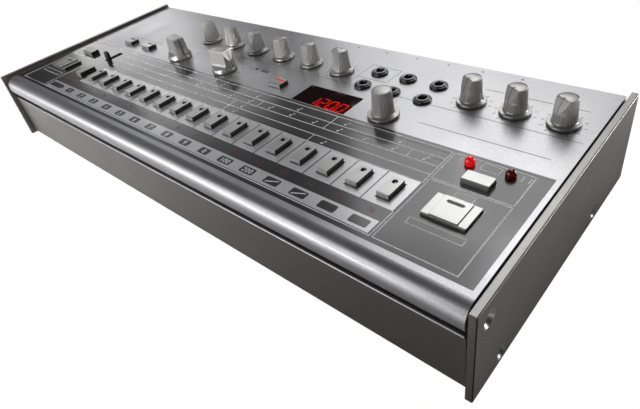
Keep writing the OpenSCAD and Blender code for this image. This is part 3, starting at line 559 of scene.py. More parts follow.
@dataclass(frozen=True)
class LacqueredKey(Grained):
    """ABS key cap, sprayed with silver lacquer, with painted shade on its sides.

    The lacquer's fine flake gives a flat pale top and a bright front edge. Both
    sides are darkened with painted shade, mixed in by the direction of the face.

    Attributes:
        side: Colour of the painted shade on the sides.
    """

    name: str = "ABS key cap, silver lacquer, painted side shade"
    slot: str = "key_plastic"
    dark: str = "#b3b3b1"
    light: str = "#c3c3c1"
    metallic: float = 0.82
    rough: float = 0.34
    grit: float = 0.25
    relief: float = 0.002
    side: str = "#4b4a47"

    def tint(self, g: Graph, colour: bpy.types.NodeSocket) -> bpy.types.NodeSocket:
        """Mixes in the painted shade colour where a face turns towards either side."""
        # Painted shade: the more a face turns towards +X or -X, the more of the dark side colour it gets.
        facing = g.add("SeparateXYZ", {"Vector": g.add("TexCoord").outputs["Normal"]})
        away = g.add("Math", {0: facing.outputs["X"]}, operation="ABSOLUTE")
        share = g.add("MapRange", {"Value": away.outputs[0], "From Min": 0.6, "From Max": 0.9})
        mixed = g.add("Mix", {0: share.outputs[0], 6: colour, 7: linear(self.side)}, data_type="RGBA")
        return mixed.outputs[2]


@dataclass(frozen=True)
class BlackAbs(Grained):
    """Black ABS, injection moulded in a fine spark-eroded tool.

    Near black with a dull sheen that lifts at grazing angles.
    """

    name: str = "ABS, moulded black"
    slot: str = "black_plastic"
    dark: str = "#0d0d0d"
    light: str = "#191918"
    rough: float = 0.38
    drift: float = 0.06
    grit: float = 0.3
    relief: float = 0.005


@dataclass(frozen=True)
class PolishedNylon(Grained):
    """Black nylon bushing, moulded in a polished tool.

    Deep black with narrow bright lines round each turned edge.
    """

    name: str = "Nylon bushing, polished black"
    slot: str = "black_plastic"
    dark: str = "#090909"
    light: str = "#131313"
    rough: float = 0.2
    drift: float = 0.03
    coat: float = 0.7
    coat_rough: float = 0.06
    relief: float = 0.002


@dataclass(frozen=True)
class NickelSteel(Grained):
    """Sheet steel, nickel plated: bright, with faint rolling marks."""

    name: str = "Sheet steel, nickel plated"
    slot: str = "bright_steel"
    dark: str = "#adada9"
    light: str = "#cdcdc9"
    metallic: float = 1.0
    rough: float = 0.25
    relief: float = 0.003


@dataclass(frozen=True)
class ZincSteel(Grained):
    """Pot case, steel with dull zinc plating: a grey, slightly cloudy metal."""

    name: str = "Pot case, zinc plated"
    slot: str = "pot_steel"
    dark: str = "#8b8b86"
    light: str = "#a8a8a1"
    metallic: float = 1.0
    rough: float = 0.38
    drift: float = 0.07
    patch: float = 6.0


@dataclass(frozen=True)
class BlackOxide(Grained):
    """Steel screw, black oxide: dark metal whose edges still catch the light."""

    name: str = "Steel screw, black oxide"
    slot: str = "screw_steel"
    dark: str = "#2b2a28"
    light: str = "#454340"
    metallic: float = 0.9
    rough: float = 0.34
    grit: float = 0.2


@dataclass(frozen=True)
class MilledEdge(Grained):
    """Side plates' top faces and bevels, laid with a pale painted highlight.

    The cutter leaves bare light metal under a thin coat, so the edge shows as a
    It shows as a pale band against the darker painted faces.
    """

    name: str = "Plate edge, painted highlight"
    slot: str = "plate_paint"
    dark: str = "#a09e9b"
    light: str = "#b8b6b2"
    metallic: float = 0.55
    rough: float = 0.42
    relief: float = 0.002
    coat: float = 0.4
    coat_rough: float = 0.25


@dataclass(frozen=True)
class MouldedRubber(Grained):
    """Rubber foot, press moulded: dull black, pitted at about 0.4 mm; also laid as painted shade lines on the
    side plates' edges.
    """

    name: str = "Rubber, moulded, also painted edge shade"
    slot: str = "rubber"
    dark: str = "#121212"
    light: str = "#1e1d1c"
    rough: float = 0.8
    grit: float = 0.4
    relief: float = 0.02


@dataclass(frozen=True)
class OverlayFilm(Grained):
    """Polycarbonate overlay, printed charcoal on its back.

    The clear film over the print gives a smooth skin, so the field mirrors the
    studio softly and turns from charcoal to mid grey across the panel.
    """

    name: str = "Polycarbonate overlay, charcoal print"
    slot: str = "panel_metal"
    dark: str = "#161617"
    light: str = "#1d1d1e"
    rough: float = 0.34
    grit: float = 0.4
    relief: float = 0.0004
    coat: float = 1.0
    coat_rough: float = 0.15
    specular: float = 0.4


@dataclass(frozen=True)
class ScreenInk(Grained):
    """Screen-printed ink, a flat even colour with a slightly broken edge grain."""

    name: str = "Screen ink"
    slot: str = "panel_metal"
    rough: float = 0.4
    drift: float = 0.03
    grit: float = 0.45
    relief: float = 0.001


@dataclass(frozen=True)
class LampEpoxy(Finish):
    """Red epoxy lamp body or light pipe, cast clear and tinted.

    A deep red with a hard gloss; a lit one also gives light of its own, and the unlit lamp a faint painted
    glow.
    """

    slot: str = "red_lens"
    colour: str = "#ff2a1a"
    depth: str = "#a01010"
    power: float = 1.0
    rough: float = 0.15

    def shader(self, g: Graph) -> bpy.types.Node:
        """Adds the nodes and returns the shader: haze of about 0.8 mm between the two reds."""
        place = g.add("TexCoord").outputs["Object"]
        haze = g.add("TexNoise", {"Vector": place, "Scale": 1 / (0.8 * MM), "Detail": 2.0})
        colour = g.add("Mix", {0: haze.outputs["Fac"], 6: linear(self.depth), 7: linear(self.colour)},
                       data_type="RGBA")
        return g.add("BsdfPrincipled", {
            "Base Color": colour.outputs[2], "Roughness": self.rough, "Coat Weight": 0.6,
            "Coat Roughness": 0.05, "Emission Color": linear(self.colour), "Emission Strength": self.power})


@dataclass(frozen=True)
class SmokedAcrylic(Finish):
    """Acrylic window, cast and dyed smoky red, with polished faces.

    It looks near black until a lit segment shines through it.
    """

    name: str = "Acrylic window, smoked red"
    slot: str = "window"
    colour: str = "#330d0a"

    def shader(self, g: Graph) -> bpy.types.Node:
        """Adds the nodes and returns the shader: the dye varies over about 6 mm."""
        place = g.add("TexCoord").outputs["Object"]
        dye = g.add("TexNoise", {"Vector": place, "Scale": 1 / (6 * MM), "Detail": 2.0})
        colour = g.add("Mix", {0: dye.outputs["Fac"], 6: linear(self.colour), 7: linear("#3a100c")},
                       data_type="RGBA")
        return g.add("BsdfPrincipled", {
            "Base Color": colour.outputs[2], "Roughness": 0.04, "Transmission Weight": 0.92, "IOR": 1.3,
            "Coat Weight": 0.3, "Coat Roughness": 0.05})


@dataclass(frozen=True)
class GlassEpoxy(Finish):
    """Glass-epoxy circuit board under green solder mask.

    Traces raise the mask into a faint lattice with a 3 mm pitch.
    """

    name: str = "Glass epoxy, green mask"
    slot: str = "board"

    def shader(self, g: Graph) -> bpy.types.Node:
        """Adds the nodes and returns the shader."""
        place = g.add("TexCoord").outputs["Object"]
        wide = g.add("VectorMath", {0: place, 1: (1000, 1000, 1000)}, operation="MULTIPLY")
        lattice = g.add("TexBrick", {"Vector": wide.outputs[0], "Scale": 0.35, "Mortar Size": 0.06,
                                     "Color1": (0, 0, 0, 1), "Color2": (0.2, 0.2, 0.2, 1),
                                     "Mortar": (1, 1, 1, 1)})
        colour = g.add("Mix", {0: lattice.outputs["Color"], 6: linear("#134028"), 7: linear("#1d5a38")},
                       data_type="RGBA")
        bump = g.add("Bump", {"Height": lattice.outputs["Color"], "Strength": 1.0, "Distance": 0.02 * MM})
        return g.add("BsdfPrincipled", {"Base Color": colour.outputs[2], "Roughness": 0.35,
                                          "Normal": bump.outputs[0]})


@dataclass(frozen=True)
class ShrinkSleeve(Finish):
    """Cell in a printed shrink sleeve: a band of colour at one end of each."""

    name: str = "Cell, printed sleeve"
    slot: str = "cell"

    def shader(self, g: Graph) -> bpy.types.Node:
        """Adds the nodes and returns the shader: the band repeats every 50.6 mm along X."""
        place = g.add("TexCoord").outputs["Object"]
        wide = g.add("VectorMath", {0: place, 1: (1000, 1000, 1000)}, operation="MULTIPLY")
        along = g.add("SeparateXYZ", {0: wide.outputs[0]})
        fold = g.add("Math", {0: along.outputs[0], 1: 50.6}, operation="PINGPONG")
        band = g.add("Math", {0: fold.outputs[0], 1: 12.0}, operation="LESS_THAN")
        colour = g.add("Mix", {0: band.outputs[0], 6: linear("#23272c"), 7: linear("#b07a34")},
                       data_type="RGBA")
        haze = g.add("TexNoise", {"Vector": place, "Scale": 1 / (8 * MM), "Detail": 2.0})
        rough = g.add("MapRange", {"Value": haze.outputs["Fac"], "To Min": 0.2, "To Max": 0.36})
        return g.add("BsdfPrincipled", {"Base Color": colour.outputs[2], "Metallic": 0.3,
                                          "Roughness": rough.outputs[0]})


SILVER, CASE, PLATE, REAR_COAT = BlastedAluminium(), SilverEnamel(), PlateEnamel(), BlackPowderCoat()
KNOB, RIM, KEY, BLACK = LacqueredCasting(), TurnedSkirt(), LacqueredKey(), BlackAbs()
BUSHING = PolishedNylon()
# The plate-edge finish is a painted highlight; the rubber also makes painted shade lines on the plate edges.
STEEL, POT, SCREW, RUBBER_AND_EDGE_SHADE, EDGE_HIGHLIGHT = NickelSteel(), ZincSteel(), BlackOxide(), MouldedRubber(), MilledEdge()
FILM, BOARD, SLEEVE, WINDOW = OverlayFilm(), GlassEpoxy(), ShrinkSleeve(), SmokedAcrylic()
TILE = ScreenInk("Ink, silver grey under film", dark="#c2c2c5", light="#d2d2d5", metallic=0.6, rough=0.34,
                 coat=0.6, coat_rough=0.12)
WHITE = ScreenInk("Ink, off-white", dark="#dfdfe1", light="#eeeef0", coat=0.3, coat_rough=0.15)
GREY = ScreenInk("Ink, line grey", dark="#545458", light="#656569", rough=0.45)
# This black ink prints the chips, and on the knobs it paints the shade of the pointer grooves.
BLACK_INK_AND_NOTCH_SHADE = ScreenInk("Ink, black, also painted notch shade", dark="#151516", light="#1f1f20", rough=0.32, coat=0.8, coat_rough=0.12)
RED = ScreenInk("Ink, dull red", dark="#6a282c", light="#783034", coat=0.5, coat_rough=0.12)
PIPE = LampEpoxy("Light pipe, unlit", colour="#4c2022", depth="#3a1a1c", power=0.0, rough=0.22)
# The unlit lamp keeps a faint emission: a painted glow.
UNLIT_LAMP_FAINT_GLOW = LampEpoxy("Lamp, unlit, faint painted glow", colour="#7c0c10", depth="#5e080b", power=0.03, rough=0.12)
LAMP_ON = LampEpoxy("Lamp, lit", colour="#f4101c", depth="#c80814", power=0.45, rough=0.12)
DIGIT = LampEpoxy("Display segment, lit", colour="#ff3026", depth="#ff3026", power=34.0, rough=0.4)
DARK_DIGIT = LampEpoxy("Display segment, dark", colour="#060202", depth="#050202", power=0.0, rough=0.4)


def coat(node: str, finish: Finish) -> None:
    """Gives a shown CAD node its finish."""
    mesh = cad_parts[node].data
    mesh.materials.clear()
    mesh.materials.append(finish.material())
    mesh.polygons.foreach_set("material_index", np.zeros(len(mesh.polygons), int))


# ---- Camera, lights and stage ---------------------------------------------------


@dataclass(frozen=True)
class ViewCamera:
    """Camera given by a turn and a shift from panel millimetres to camera axes.

    Attributes:
        size: Picture size in pixels.
        focal: Focal length in pixels.
        centre: Principal point in pixels.
        turn: Rotation vector, from axes with X along the panel from its left edge.
        shift: Shift in millimetres.
    """

    size: tuple[int, int] = (640, 409)
    focal: float = 518.692
    centre: tuple[float, float] = (309.525, 181.266)
    turn: tuple[float, float, float] = (2.156, 0.728, -0.566)
    shift: tuple[float, float, float] = (-182.858, -60.144, 310.143)

    def build(self) -> bpy.types.Object:
        """Makes the camera and sets it as the scene's."""
        turn = Vector(self.turn)
        solved = np.array(Matrix.Rotation(turn.length, 3, turn.normalized()))
        spot = -solved.T @ np.array(self.shift)
        axes = PANEL.matrix() @ solved.T @ np.diag([1, -1, -1])
        place = PANEL.place(np.array([spot - (HALF_W, 0, 0)]))[0]
        width, height = self.size
        data = bpy.data.cameras.new("view_camera")
        data.sensor_width = 36
        data.lens = 36 * self.focal / width
        data.shift_x = (width / 2 - self.centre[0]) / width
        data.shift_y = (self.centre[1] - height / 2) / width
        data.clip_start, data.clip_end = 0.01, 50
        camera = bpy.data.objects.new("view_camera", data)
        camera.matrix_world = Matrix.Translation(Vector(place)) @ Matrix(axes.tolist()).to_4x4()
        bpy.context.scene.collection.objects.link(camera)
        bpy.context.scene.camera = camera
        return camera


@dataclass(frozen=True)
class Softbox:
    """A rectangular area light aimed at a point.

    Attributes:
        name: Light name.
        spot: Place in metres.
        size: Width and height in metres.
        power: Watts.
        aim: Point it faces, in metres.
        spread: Beam in degrees, below 180 behind a honeycomb grid.
    """

    name: str
    spot: tuple[float, float, float]
    size: tuple[float, float]
    power: float
    aim: tuple[float, float, float] = (0.0, 0.0, 0.03)
    spread: float = 180.0

    def build(self) -> bpy.types.Object:
        """Makes the light."""
        data = bpy.data.lights.new(self.name, "AREA")
        data.shape = "RECTANGLE"
        data.size, data.size_y = self.size
        data.energy = self.power
        data.spread = math.radians(self.spread)
        light = bpy.data.objects.new(self.name, data)
        light.location = self.spot
        light.rotation_euler = (Vector(self.aim) - Vector(self.spot)).to_track_quat("-Z", "Y").to_euler()
        bpy.context.scene.collection.objects.link(light)
        return light


@dataclass(frozen=True)
class Studio:
    """Pale floor, white surround and the soft lights.

    Attributes:
        reach: Half the floor's width in metres.
        dim: What surfaces see of the surround, linear.
        white: What the camera sees of it, linear.
        shade: Distances from the object, in metres, over which that painted shadow fades out.
        glow: White that metal sees of the floor away from the object; nearer the object it fades into a
            painted shadow.
        foot: Half the object's width and depth in metres.
        paper: Strength of the floor's own white.
        cover: Share of that white in what the camera sees.
        lights: The soft lights.
    """

    reach: float = 6.0
    dim: float = 0.05
    white: float = 1.02
    shade: tuple[float, float] = (0.015, 0.16)
    glow: float = 1.7
    foot: tuple[float, float] = (0.155, 0.065)
    paper: float = 1.04
    cover: float = 0.95
    lights: tuple[Softbox, ...] = (
        Softbox("rear_top", (0.0, 0.7, 1.212), (0.5, 0.5), 3.0),
        Softbox("rear_higher", (-0.361, 0.74, 1.133), (0.5, 0.3), 0.65),
        Softbox("rear_high_right", (-0.22, 1.034, 0.918), (0.42, 0.45), 1.3),
        Softbox("rear_high_left", (-0.544, 0.906, 0.918), (0.36, 0.4), 0.95),
        Softbox("rear_middle", (-0.463, 1.146, 0.657), (0.9, 0.16), 0.7),
        Softbox("rear_low", (-0.686, 1.141, 0.433), (0.5, 0.24), 0.7),
        Softbox("rear_left", (-1.223, 0.545, 0.409), (0.35, 0.24), 0.58),
        Softbox("rear_right", (0.45, 0.45, 0.15), (0.25, 0.2), 0.13, (0.19, -0.03, 0), 40),
        Softbox("rear_left_high", (-1.08, 0.624, 0.636), (0.4, 0.16), 0.35),
        Softbox("right_strip", (0.795, 1.136, 0.195), (0.7, 0.5), 0.5),
        Softbox("front_card", (-0.6, -0.85, 0.25), (0.8, 0.45), 1.75, (0.05, -0.08, 0.03)),
        Softbox("front_card_low", (-0.65, -0.8, 0.07), (0.9, 0.14), 1.4, (0.05, -0.08, 0.03)),
        Softbox("front_high", (-0.4, -0.8, 0.55), (0.7, 0.3), 1.0, (0, -0.05, 0.03)),
        Softbox("front_grid", (-0.05, -0.55, 0.16), (0.2, 0.2), 0.25, (-0.13, -0.065, 0.015), 45),
        Softbox("front_right_low", (-0.15, -0.95, 0.08), (0.5, 0.16), 0.15, (0.1, -0.08, 0.03)),
    )

    def world(self) -> None:
        """White to the camera and through glass, dim to everything that the object mirrors."""
        world = bpy.data.worlds.new("surround")
        bpy.context.scene.world = world
        g = Graph(world)
        path = g.add("LightPath")
        seen = g.add("Math", {0: path.outputs["Is Camera Ray"], 1: path.outputs["Is Transmission Ray"]},
                     operation="MAXIMUM")
        dim = g.add("Background", {0: (self.dim, self.dim, self.dim * 1.02, 1)})
        white = g.add("Background", {0: (self.white, self.white, self.white, 1)})
        both = g.add("MixShader", {0: seen.outputs[0], 1: dim.outputs[0], 2: white.outputs[0]})
        g.add("OutputWorld", {"Surface": both.outputs[0]})

    def floor(self) -> None:
        """A pale floor that takes a soft contact shadow and shows white to the camera. What metal sees of it
        holds a painted shadow round the object.
        """
        mesh = bpy.data.meshes.new("floor")
        r = self.reach
        mesh.from_pydata([(-r, -r, 0), (r, -r, 0), (r, r, 0), (-r, r, 0)], [], [(0, 1, 2, 3)])
        material = bpy.data.materials.new("Floor, pale paper, painted shadow in reflections")
        g = Graph(material)
        place = g.add("TexCoord").outputs["Object"]
        speck = g.add("TexNoise", {"Vector": place, "Scale": 500.0, "Detail": 2.0})
        tone = g.add("Mix", {0: speck.outputs["Fac"], 6: linear("#dedede"), 7: linear("#e6e6e6")},
                     data_type="RGBA")
        paper = g.add("BsdfDiffuse", {"Color": tone.outputs[2]})
        lit = g.add("Emission", {"Color": linear("#ffffff"), "Strength": self.paper})
        path = g.add("LightPath")
        axes = g.add("SeparateXYZ", {0: place})
        outs = [g.add("Math", {0: g.add("Math", {0: axes.outputs[k]}, operation="ABSOLUTE").outputs[0],
                               1: half}, operation="SUBTRACT") for k, half in enumerate(self.foot)]
        outs = [g.add("Math", {0: out.outputs[0], 1: 0.0}, operation="MAXIMUM") for out in outs]
        away = g.add("CombineXYZ", {0: outs[0].outputs[0], 1: outs[1].outputs[0]})
        gap = g.add("VectorMath", {0: away.outputs[0]}, operation="LENGTH")
        # Painted shadow: what metal sees of the floor rises from nothing near the object to the glow further
        # out.
        painted_shadow_and_glow = g.add("MapRange", {"Value": gap.outputs["Value"], "From Min": self.shade[0],
                                        "From Max": self.shade[1], "To Max": self.glow},
                           interpolation_type="SMOOTHSTEP")
        mirrored = g.add("Math", {0: path.outputs["Is Glossy Ray"], 1: painted_shadow_and_glow.outputs[0]},
                         operation="MULTIPLY")
        share = g.add("Math", {0: path.outputs["Is Camera Ray"], 1: self.cover, 2: mirrored.outputs[0]},
                      operation="MULTIPLY_ADD")
        both = g.add("MixShader", {0: share.outputs[0], 1: paper.outputs[0], 2: lit.outputs[0]})
        g.add("OutputMaterial", {"Surface": both.outputs[0]})
        mesh.materials.append(material)
        floor = bpy.data.objects.new("floor", mesh)
        bpy.context.scene.collection.objects.link(floor)

    def build(self) -> None:
        """Makes the surround, floor and lights."""
        self.world()
        self.floor()
        for light in self.lights:
            light.build()
        bpy.context.scene.view_settings.view_transform = "Standard"


# ---- Housing ---------------------------------------------------------------------


@dataclass(frozen=True)
class Housing:
    """CAD nodes whose shape stands as it is, with their finishes."""

    coats: dict[str, Finish] = field(default_factory=lambda: {
        "top_panel": SILVER, "bottom_case": CASE, "rear_panel": REAR_COAT, "left_side_plate": PLATE,
        "right_side_plate": PLATE, "side_plate_screws": SCREW, "case_screws": SCREW, "rubber_feet": RUBBER_AND_EDGE_SHADE,
        "display_window": WINDOW, "display_module": BLACK, "minijack_sockets": BUSHING,
        "midi_sockets": BLACK, "usb_socket": STEEL, "control_board": BOARD, "main_board": BOARD,
        "control_pots": POT, "board_switches": BLACK, "panel_leds": PIPE, "batteries": SLEEVE,
        "battery_contacts": STEEL, "battery_door": CASE, "scale_lever": BLACK, "volume_knob": BLACK,
        "power_slider": BLACK,
    })

    def build(self) -> None:
        """Coats every CAD node."""
        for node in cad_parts:
            coat(node, self.coats.get(node) or (KNOB if "knob" in node else KEY))


# ---- Keys ------------------------------------------------------------------------


FLANGE_LOW, FLANGE_TOP = -2.7, -1.5  # Flange that holds a key under the panel.
PLUNGER_R, PLUNGER_LOW = 1.55, -9.5  # Plunger that reaches down to the switch.


@dataclass(frozen=True)
class KeyCap:
    """A moulded key with a hidden flange, a plunger and eased edges.

    Rings of rounded rectangles rise from the flange to the top; the last ones
    shrink by the ease, and the front edge by the bevel besides.

    Attributes:
        width: Along X.
        length: Along Y.
        height: Top above the panel.
        ease: Radius of the top's edges.
        bevel: Extra slope at the front end.
        corner: Radius of the upright corners.
        gap: Gap to the panel's opening.
        lip: Reach of the flange beyond the opening.
        pipe: Offset in Y of a hole for a light pipe, if any.
        hole: Radius of that hole.
        plunger: Offset in Y of the plunger.
    """

    width: float = 5.0
    length: float = 9.8
    height: float = 2.1
    ease: float = 0.14
    bevel: float = 0.25
    corner: float = 0.25
    gap: float = 0.35
    lip: float = 0.4
    pipe: float | None = 2.65
    hole: float = 1.05
    plunger: float = -1.2

    def ring(self, inset: float, front: float = 0.0) -> np.ndarray:
        """Outline inset all round, with its front edge moved back by front."""
        flat = round_rect(self.width - 2 * inset, self.length - 2 * inset - front,
                          max(self.corner - inset * 0.5, 0.1))
        return flat + (0, front / 2)

    def body(self) -> tuple[list[np.ndarray], list[float]]:
        """Rings and heights from the flange's underside to the top's edge.

        Above height - bevel the front edge goes back as far as the ring rises.
        """
        rim = -(self.gap + self.lip)
        rings, heights = [self.ring(rim), self.ring(rim), self.ring(0)], [FLANGE_LOW, FLANGE_TOP, FLANGE_TOP]
        steps = sorted({round(z, 4) for _, z in eased(self.ease, 0, self.height)[1:]}
                       | {self.height - self.bevel})
        for z in steps:
            rise = max(0.0, z - (self.height - self.ease))
            inset = self.ease - math.sqrt(max(self.ease ** 2 - rise ** 2, 0.0))
            rings.append(self.ring(inset, max(0.0, z - (self.height - self.bevel))))
            heights.append(z)
        return rings, heights

    def draw(self, sketch: Sketch) -> None:
        """Adds the cap to a sketch whose shift is the key's centre."""
        rings, heights = self.body()
        holed, edge = self.pipe is not None, rings[-1]
        if holed:
            for r, z in ((self.hole + 0.1, self.height), (self.hole, self.height - 0.1),
                         (self.hole, FLANGE_LOW)):
                rings.append(seen_from(edge, (0, self.pipe), r))
                heights.append(z)
        sketch.skin(stack(rings, heights), loop=holed)

    def finishes(self) -> list[Finish]:
        """One finish for each slot that draw uses."""
        return [KEY]

    def build(self, node: str, x: float, y: float) -> bpy.types.Object:
        """Makes the key that stands in for a CAD node.

        Args:
            node: CAD node, also the name of its body.
            x: Centre in panel millimetres.
            y: Centre in panel millimetres.

        Returns:
            The key.
        """
        sketch = Sketch(PANEL, (x, y, 0))
        self.draw(sketch)
        sketch.turn([(PLUNGER_R, PLUNGER_LOW), (PLUNGER_R, FLANGE_LOW)], (0, self.plunger), 24)
        return sketch.build(f"cap_{node}", self.finishes(), 6, node, node)


@dataclass(frozen=True)
class LampKey(KeyCap):
    """A key with a lamp bar let into its top, and optionally a raised pad.

    Attributes:
        slot: Width and length of the lamp bar.
        slot_y: Its offset in Y.
        pad: Width of the raised pad, or 0 for none.
        pad_top: Top of the pad.
        lamp: Finish of the bar.
    """

    pipe: float | None = None
    plunger: float = 0.0
    slot: tuple[float, float] = (5.0, 1.6)
    slot_y: float = 1.5
    pad: float = 0.0
    pad_top: float = 1.8
    lamp: Finish = BLACK

    def well(self, rings: list[np.ndarray], heights: list[float], top: float) -> None:
        """Adds the rings of a slot that sinks 0.7 mm from top, with rounded ends."""
        w, l = self.slot
        for grow, z in ((0.12, top), (0.0, top - 0.12), (0.0, top - 0.7)):
            rings.append(round_rect(w + grow, l + grow, l / 2 - 0.02) + (0, self.slot_y))
            heights.append(z)

    def draw(self, sketch: Sketch) -> None:
        """Adds the cap, its pad with fine upright ribs on the front faces, and the lamp bar."""
        rings, heights = self.body()
        if self.pad:
            sketch.skin(stack(rings, heights))
            w, l = self.pad, self.length - 0.5
            steps = eased(0.14, 0.0, self.pad_top)
            rings = [round_rect(w - 2 * inset, l - 2 * inset, 0.2) for inset, _ in steps]
            heights = [z for _, z in steps]
            self.well(rings, heights, self.pad_top)
            for reach, y, top in ((self.width - 0.7, self.length / 2, self.height),
                                  (w - 0.5, l / 2, self.pad_top)):
                x = np.arange(-reach / 2, reach / 2, 0.34)
                ends = np.stack([np.stack([x, x * 0 - y - 0.1], 1), np.stack([x, x * 0 - y + 0.05], 1)], 1)
                sketch.bars(ends, 0.16, 0.1, top - 0.22)
        else:
            self.well(rings, heights, self.height)
        sketch.skin(stack(rings, heights))
        w, l = self.slot
        floor = heights[-1]
        sketch.prism(round_rect(w - 0.06, l - 0.06, l / 2 - 0.05) + (0, self.slot_y), floor - 0.1,
                     floor + 0.58, 1)

    def finishes(self) -> list[Finish]:
        """The cap's finish and the lamp bar's."""
        return [KEY, self.lamp]


@dataclass(frozen=True)
class Keyboard:
    """All the keys: sixteen narrow ones, the function key and the others."""

    narrow: KeyCap = KeyCap()
    plain: KeyCap = KeyCap(pipe=None)
    small: KeyCap = KeyCap(9.9, 5.4, 2.2, 0.16, 0.3, 0.25, pipe=None, plunger=0.0)
    wide: LampKey = LampKey(15.6, 11.1, 1.3, 0.14, 0.2, 0.3, slot=(6.0, 1.5), slot_y=2.85, pad=9.9)
    mode: LampKey = LampKey(7.4, 5.9, 2.1, 0.16, 0.3, 0.25)
    lit: LampKey = LampKey(7.4, 5.9, 2.1, 0.16, 0.3, 0.25, lamp=LAMP_ON)

    def build(self) -> None:
        """Makes every key at its place."""
        for i, x in enumerate(KEY_X):
            self.narrow.build(f"step_key_{i + 1}", x, KEY_Y)
        self.plain.build("function_key", KEY_X[0] - KEY_PITCH, KEY_Y)
        for node, x in (("start_key", -130.2), ("tap_key", 128.6)):
            self.wide.build(node, x, WIDE_Y)
        for node, x in (("clear_key", -130.2), ("group_key", 128.6)):
            self.small.build(node, x, SMALL_Y)
        for node, x in (("track_key_1", -116.4), ("track_key_2", -97.2)):
            self.mode.build(node, x, 70.4)
        self.lit.build("tempo_key", 15, 70.4)


# ---- Knobs -----------------------------------------------------------------------


@dataclass(frozen=True)
class Knob:
    """A turned and fluted knob on a low skirt.

    The surface is r(a, z): the least of the cone's radius, less the flutes, and
    of the cuts. A cut is a plane whose distance from the axis is divided by the
    cosine of the angle to its direction. Each ring has points on the edges
    between one cut and the next, which keeps those edges crisp.

    Attributes:
        height: Top above the panel.
        top: Radius of the cone's top.
        foot: Radius of its foot.
        rim: Radius of the skirt.
        skirt: Height where the skirt meets the foot.
        flutes: Number of flutes round the cone.
        groove: Depth of a flute.
        crown: Radius of the top disc inside its groove, or 0 for a plain top.
        counts: Points of a ring between one edge and the next.
    """

    height: float = 11.1
    top: float = 3.8
    foot: float = 4.4
    rim: float = 6.0
    skirt: float = 1.95
    flutes: int = 32
    groove: float = 0.2
    crown: float = 3.3
    counts: tuple[int, ...] = (420,)

    def cuts(self, a: np.ndarray, z: float) -> np.ndarray:
        """Distance from the axis to the nearest cut at each angle, far off where none is."""
        return np.full_like(a, 99.0)

    def edges(self, r: float, z: float) -> list[float]:
        """Angles of the edges between cuts, in rising order."""
        return [0.0]

    def levels(self) -> np.ndarray:
        """Heights of the cone's rings."""
        return np.linspace(self.skirt + 0.05, self.height - 0.3, 26)

    def ring(self, r: float, z: float, inset: float = 0.0, fluted: bool = True) -> np.ndarray:
        """Ring at height z: min(r - flute, cut) - inset at each angle."""
        marks = self.edges(r, z)
        spans = zip(marks, [*marks[1:], marks[0] + 2 * math.pi], self.counts)
        a = np.concatenate([np.linspace(start, end, n, endpoint=False) for start, end, n in spans])
        wave = self.groove * ((1 - np.cos(self.flutes * a)) / 2) ** 3 if fluted and self.flutes else 0.0
        radius = np.minimum(r - wave, self.cuts(a, z)) - inset
        return np.stack([radius * np.cos(a), radius * np.sin(a)], 1)

    def skirt_profile(self) -> list[tuple[float, float]]:
        """Radii and heights of the skirt.

        An upright band, a flat ring, then the quarter ellipse
        r = foot + 0.5 - 0.5 sin t, z = 1.46 + (skirt - 1.46)(1 - cos t).
        """
        r, t = self.rim, np.linspace(0, math.pi / 2, 8)
        return [(2.0, -10.2), (2.0, 0.35), (r - 0.3, 0.35), (r - 0.08, 0.4), (r, 0.52), (r, 1.26),
                (r - 0.03, 1.35), (r - 0.1, 1.4), (r - 0.14, 1.42),
                *zip(self.foot + 0.5 - 0.5 * np.sin(t), 1.46 + (self.skirt - 1.46) * (1 - np.cos(t)))]

    def draw(self, sketch: Sketch) -> None:
        """Adds the shaft and skirt, and the cone and top, as two closed skins."""
        rows = [(r, z, 0.0, False) for r, z in self.skirt_profile()]
        sketch.skin(stack([self.ring(*row) for row in rows], [z for _, z, *_ in rows]), 2)
        rows = rows[-1:]
        levels = self.levels()
        share = (levels - self.skirt) / (self.height - self.skirt)
        rows += [(self.foot + (self.top - self.foot) * t, z, 0.0, True) for t, z in zip(share, levels)]
        tops = [(0.05, 0.12), (0.14, 0.03), (0.24, 0.0)]
        if self.crown:
            e = self.top - self.crown
            tops += [(e - 0.12, 0.0), (e - 0.08, 0.35), (e + 0.08, 0.35), (e + 0.12, 0.03), (e + 0.2, 0.0)]
        rows += [(self.top, self.height - drop, inset, False) for inset, drop in tops]
        sketch.skin(stack([self.ring(*row) for row in rows], [z for _, z, *_ in rows]))

    def build(self, node: str, x: float, y: float) -> bpy.types.Object:
        """Makes the knob that stands in for a CAD node.

        Args:
            node: CAD node, also the name of its body.
            x: Axis in panel millimetres.
            y: Axis in panel millimetres.

        Returns:
            The knob.
        """
        sketch = Sketch(PANEL, (x, y, 0))
        self.draw(sketch)
        # Slot 1 is the black that paints the shade of a pointer groove.
        return sketch.build(f"dial_{node}", [KNOB, BLACK_INK_AND_NOTCH_SHADE, RIM], 24, node, node)


